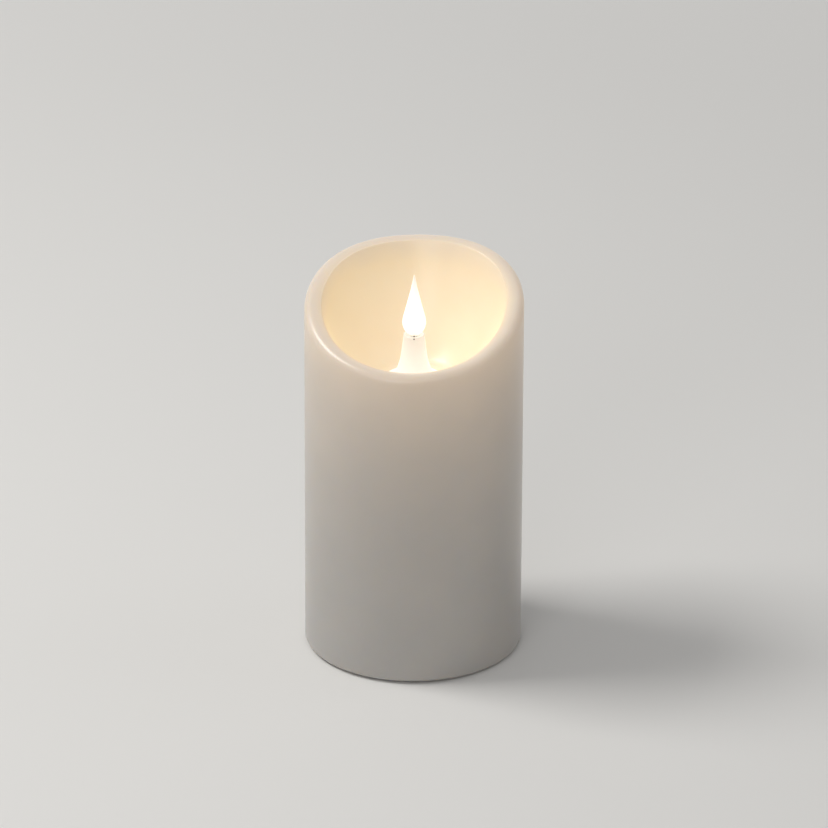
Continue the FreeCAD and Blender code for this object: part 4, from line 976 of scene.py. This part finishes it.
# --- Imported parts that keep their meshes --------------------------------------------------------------


@dataclass
class Fittings:
    """The moulded, metal and electronic parts, each finished by its record slot.

    Attributes:
        nodes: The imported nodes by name.
        slots: Each node's material slot in the record.
    """

    nodes: dict[str, bpy.types.Object]
    slots: dict[str, str]

    def finishes(self) -> dict[str, bpy.types.Material]:
        """One material for each slot whose nodes keep their meshes. A finish is named after its slot.

        Returns:
            Materials by slot name.
        """
        cream = (0.60, 0.56, 0.48), (0.68, 0.64, 0.56)
        made = [
            GrainedFinish("core_plastic", (0.55, 0.53, 0.47), (0.63, 0.61, 0.55)),
            GrainedFinish("base_plastic", *cream, (0.42, 0.58)),
            GrainedFinish("door_plastic", *cream, (0.38, 0.52)),
            GrainedFinish("foot_rubber", (0.30, 0.28, 0.25), (0.38, 0.36, 0.32), (0.7, 0.85), 1500.0),
            GrainedFinish("screw_steel", (0.42, 0.42, 0.43), (0.58, 0.58, 0.59), (0.22, 0.4), 2400.0,
                          metal=1.0),
            GrainedFinish("contact_metal", (0.60, 0.58, 0.54), (0.74, 0.72, 0.68), (0.16, 0.3),
                          2000.0, metal=1.0),
            GrainedFinish("switch_case", (0.50, 0.50, 0.51), (0.62, 0.62, 0.63), (0.26, 0.38),
                          1800.0, metal=1.0),
            GrainedFinish("switch_knob", (0.012, 0.012, 0.013), (0.03, 0.03, 0.032), (0.4, 0.55),
                          1600.0),
            BoardFinish("circuit_board", (0.012, 0.085, 0.035), (0.03, 0.16, 0.07)),
            GrainedFinish("chip_black", (0.010, 0.010, 0.012), (0.028, 0.028, 0.03), (0.45, 0.6),
                          3000.0),
            GrainedFinish("capacitor_sleeve", (0.012, 0.014, 0.05), (0.025, 0.03, 0.085), (0.2, 0.3),
                          coat=0.4),
            GrainedFinish("crystal_can", (0.58, 0.58, 0.58), (0.72, 0.72, 0.72), (0.15, 0.25), 2500.0,
                          metal=1.0),
            GrainedFinish("carrier_plastic", (0.52, 0.50, 0.46), (0.60, 0.58, 0.54)),
            GrainedFinish("bobbin_plastic", (0.012, 0.012, 0.012), (0.03, 0.03, 0.03), (0.3, 0.45)),
            # The wire's darker first colour, between the ribs, is painted shade.
            RibbedFinish("copper_wire", (0.30, 0.09, 0.03), (0.78, 0.34, 0.16)),
            GrainedFinish("iron_pin", (0.26, 0.25, 0.25), (0.36, 0.35, 0.35), (0.35, 0.5), 1700.0,
                          metal=1.0),
            JacketFinish("cell_jacket"),
            GlowFinish("lamp_resin", (0.9, 0.74, 0.42), (0.8, 0.5, 0.2), (1.0, 0.74, 0.38)),
            GrainedFinish("tail_plastic", (0.72, 0.70, 0.64), (0.82, 0.80, 0.75), (0.3, 0.42)),
            GrainedFinish("magnet_plating", (0.64, 0.64, 0.66), (0.78, 0.78, 0.80), (0.08, 0.18),
                          metal=1.0),
            GrainedFinish("pivot_steel", (0.05, 0.045, 0.04), (0.10, 0.09, 0.08), (0.3, 0.45), 3000.0,
                          metal=0.8),
            GrainedFinish("red_lead", (0.34, 0.012, 0.01), (0.44, 0.02, 0.016), (0.34, 0.45)),
            GrainedFinish("black_lead", (0.012, 0.012, 0.012), (0.024, 0.024, 0.024), (0.34, 0.45)),
            GrainedFinish("white_lead", (0.62, 0.62, 0.58), (0.72, 0.72, 0.68), (0.34, 0.45)),
        ]
        return {finish.name: finish.build() for finish in made}

    def dress(self) -> None:
        """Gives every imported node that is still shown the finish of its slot."""
        finishes = self.finishes()
        for name, node in self.nodes.items():
            if node.hide_render:
                continue
            material = finishes[self.slots[name]]
            for slot in node.material_slots:
                slot.material = material
            LOG.info("%s: finished as %s", name, material.name)


# --- Studio ------------------------------------------------------------------------------------------


@dataclass(frozen=True)
class Softbox:
    """A soft square lamp.

    Attributes:
        name: The lamp's name.
        place: Where it hangs, in metres.
        power: Its power in watts.
        width: Its width and height in metres.
        colour: Its linear colour.
    """

    name: str
    place: tuple[float, float, float]
    power: float
    width: float
    colour: Colour

    def build(self, target: Vector) -> None:
        """Hangs the lamp so that it faces a target, in metres."""
        light = bpy.data.lights.new(self.name, "AREA")
        light.shape = "RECTANGLE"
        light.size, light.size_y = self.width, self.width
        light.energy = self.power
        light.color = self.colour
        made = bpy.data.objects.new(self.name, light)
        made.location = self.place
        made.rotation_mode = "QUATERNION"
        made.rotation_quaternion = (target - Vector(self.place)).to_track_quat("-Z", "Y")
        bpy.context.scene.collection.objects.link(made)


@dataclass
class Studio:
    """A pale floor, soft lamps and the camera. Distances are in metres, angles in degrees."""

    floor_colour: Colour = (0.80, 0.79, 0.77)
    backdrop: Colour = (0.93, 0.93, 0.92)
    world_strength: float = 0.33
    floor_reach: float = 6.0
    floor_fade: Pair = (0.6, 2.2)
    lamp_aim_height: float = 0.11
    camera_distance: float = 3.28
    camera_pitch: float = 24.76
    camera_roll: float = 0.21
    camera_lens: float = 311.7
    sensor_width: float = 36.0
    aim: tuple[float, float, float] = (0.0001, 0.0, 0.1133)

    def pale_where_seen(
        self, shader: Shader, own: bpy.types.NodeSocket, seen: bpy.types.NodeSocket
    ) -> bpy.types.NodeSocket:
        """Shows one shader to the camera, to gloss and through glass, and another to everything else.

        Args:
            shader: The tree to build in.
            own: The shader that lights the object.
            seen: The shader that is looked at.

        Returns:
            The mixed shader.
        """
        path = shader.node("ShaderNodeLightPath")
        looked = shader.math("MAXIMUM", path.outputs["Is Camera Ray"], shader.math(
            "MAXIMUM", path.outputs["Is Glossy Ray"], path.outputs["Is Transmission Ray"]))
        return shader.node("ShaderNodeMixShader", {0: looked, 1: own, 2: seen}).outputs[0]

    def build_world(self) -> None:
        """A dim neutral world that looks pale to the camera."""
        world = bpy.data.worlds.new("studio")
        world.use_nodes = True
        world.node_tree.nodes.clear()
        shader = Shader(world.node_tree)
        own = shader.node("ShaderNodeBackground",
                          {"Color": (1.0, 1.0, 1.0, 1.0), "Strength": self.world_strength})
        seen = shader.node("ShaderNodeBackground", {"Color": (*self.backdrop, 1.0), "Strength": 1.0})
        mixed = self.pale_where_seen(shader, own.outputs[0], seen.outputs[0])
        shader.node("ShaderNodeOutputWorld", {"Surface": mixed})
        bpy.context.scene.world = world

    def build_floor(self) -> None:
        """A wide pale floor that keeps the candle's shadow and fades to the background far off."""
        size = self.floor_reach
        corners = np.array([[-size, -size, 0], [size, -size, 0], [size, size, 0], [-size, size, 0]])
        mesh = bpy.data.meshes.new("studio_floor")
        mesh.from_pydata(corners.tolist(), [], [[0, 1, 2, 3]])
        floor = bpy.data.objects.new("studio_floor", mesh)
        bpy.context.scene.collection.objects.link(floor)
        material = GrainedFinish(
            "studio_paper", self.floor_colour, self.floor_colour, (0.8, 0.9), 300.0, 8.0,
            0.00001, scuff=0.0,
        ).build()
        shader = Shader(material.node_tree)
        by_type = {node.type: node for node in material.node_tree.nodes}
        paper = by_type["BSDF_PRINCIPLED"].outputs[0]
        away = shader.node("ShaderNodeVectorMath", {0: shader.place()}, operation="LENGTH")
        fade = shader.node("ShaderNodeMapRange", {
            "Value": away.outputs["Value"], "From Min": self.floor_fade[0],
            "From Max": self.floor_fade[1],
        }, interpolation_type="SMOOTHSTEP")
        pale = shader.node("ShaderNodeEmission", {"Color": (*self.backdrop, 1.0), "Strength": 1.0})
        far = shader.node("ShaderNodeMixShader",
                          {0: fade.outputs["Result"], 1: paper, 2: pale.outputs[0]})
        shader.feed(by_type["OUTPUT_MATERIAL"].inputs["Surface"],
                    self.pale_where_seen(shader, paper, far.outputs[0]))
        floor.data.materials.append(material)

    def build_lamps(self) -> None:
        """A softbox high on the left and a little behind, a weaker one in front, a faint one right."""
        lamps = (
            Softbox("key_softbox", (-1.15, 0.15, 1.6), 20.0, 0.8, (1.0, 0.99, 0.97)),
            Softbox("front_softbox", (-0.6, -1.9, 0.9), 7.0, 1.0, (0.99, 0.99, 1.0)),
            Softbox("side_softbox", (1.7, 0.2, 1.0), 2.0, 1.2, (0.97, 0.98, 1.0)),
        )
        for lamp in lamps:
            lamp.build(Vector((0, 0, self.lamp_aim_height)))

    def build_camera(self) -> None:
        """A long lens that looks down at the candle from the front."""
        data = bpy.data.cameras.new("studio_camera")
        data.lens = self.camera_lens
        data.sensor_width = self.sensor_width
        data.clip_start, data.clip_end = 0.05, 50.0
        camera = bpy.data.objects.new("studio_camera", data)
        pitch = math.radians(self.camera_pitch)
        back = Vector((0.0, -math.cos(pitch), math.sin(pitch)))
        camera.location = Vector(self.aim) + back * self.camera_distance
        camera.rotation_mode = "QUATERNION"
        look = (-back).to_track_quat("-Z", "Y")
        roll = Matrix.Rotation(math.radians(self.camera_roll), 3, "Z").to_quaternion()
        camera.rotation_quaternion = look @ roll
        bpy.context.scene.collection.objects.link(camera)
        bpy.context.scene.camera = camera

    def build(self) -> None:
        """Builds the whole studio."""
        self.build_world()
        self.build_floor()
        self.build_lamps()
        self.build_camera()
        bpy.context.scene.view_settings.view_transform = "Standard"


def main() -> None:
    """Builds every piece in order, then the studio."""
    logging.basicConfig(level=logging.INFO, format="%(name)s %(message)s")
    slots = {s["node"]: s["material_slot"] for s in frame["record"]["subparts"]}
    WaxPillar().build()
    Flame().build()
    Collar().build()
    Fittings(frame["nodes"], slots).dress()
    Studio().build()


if __name__ == "__main__":
    main()
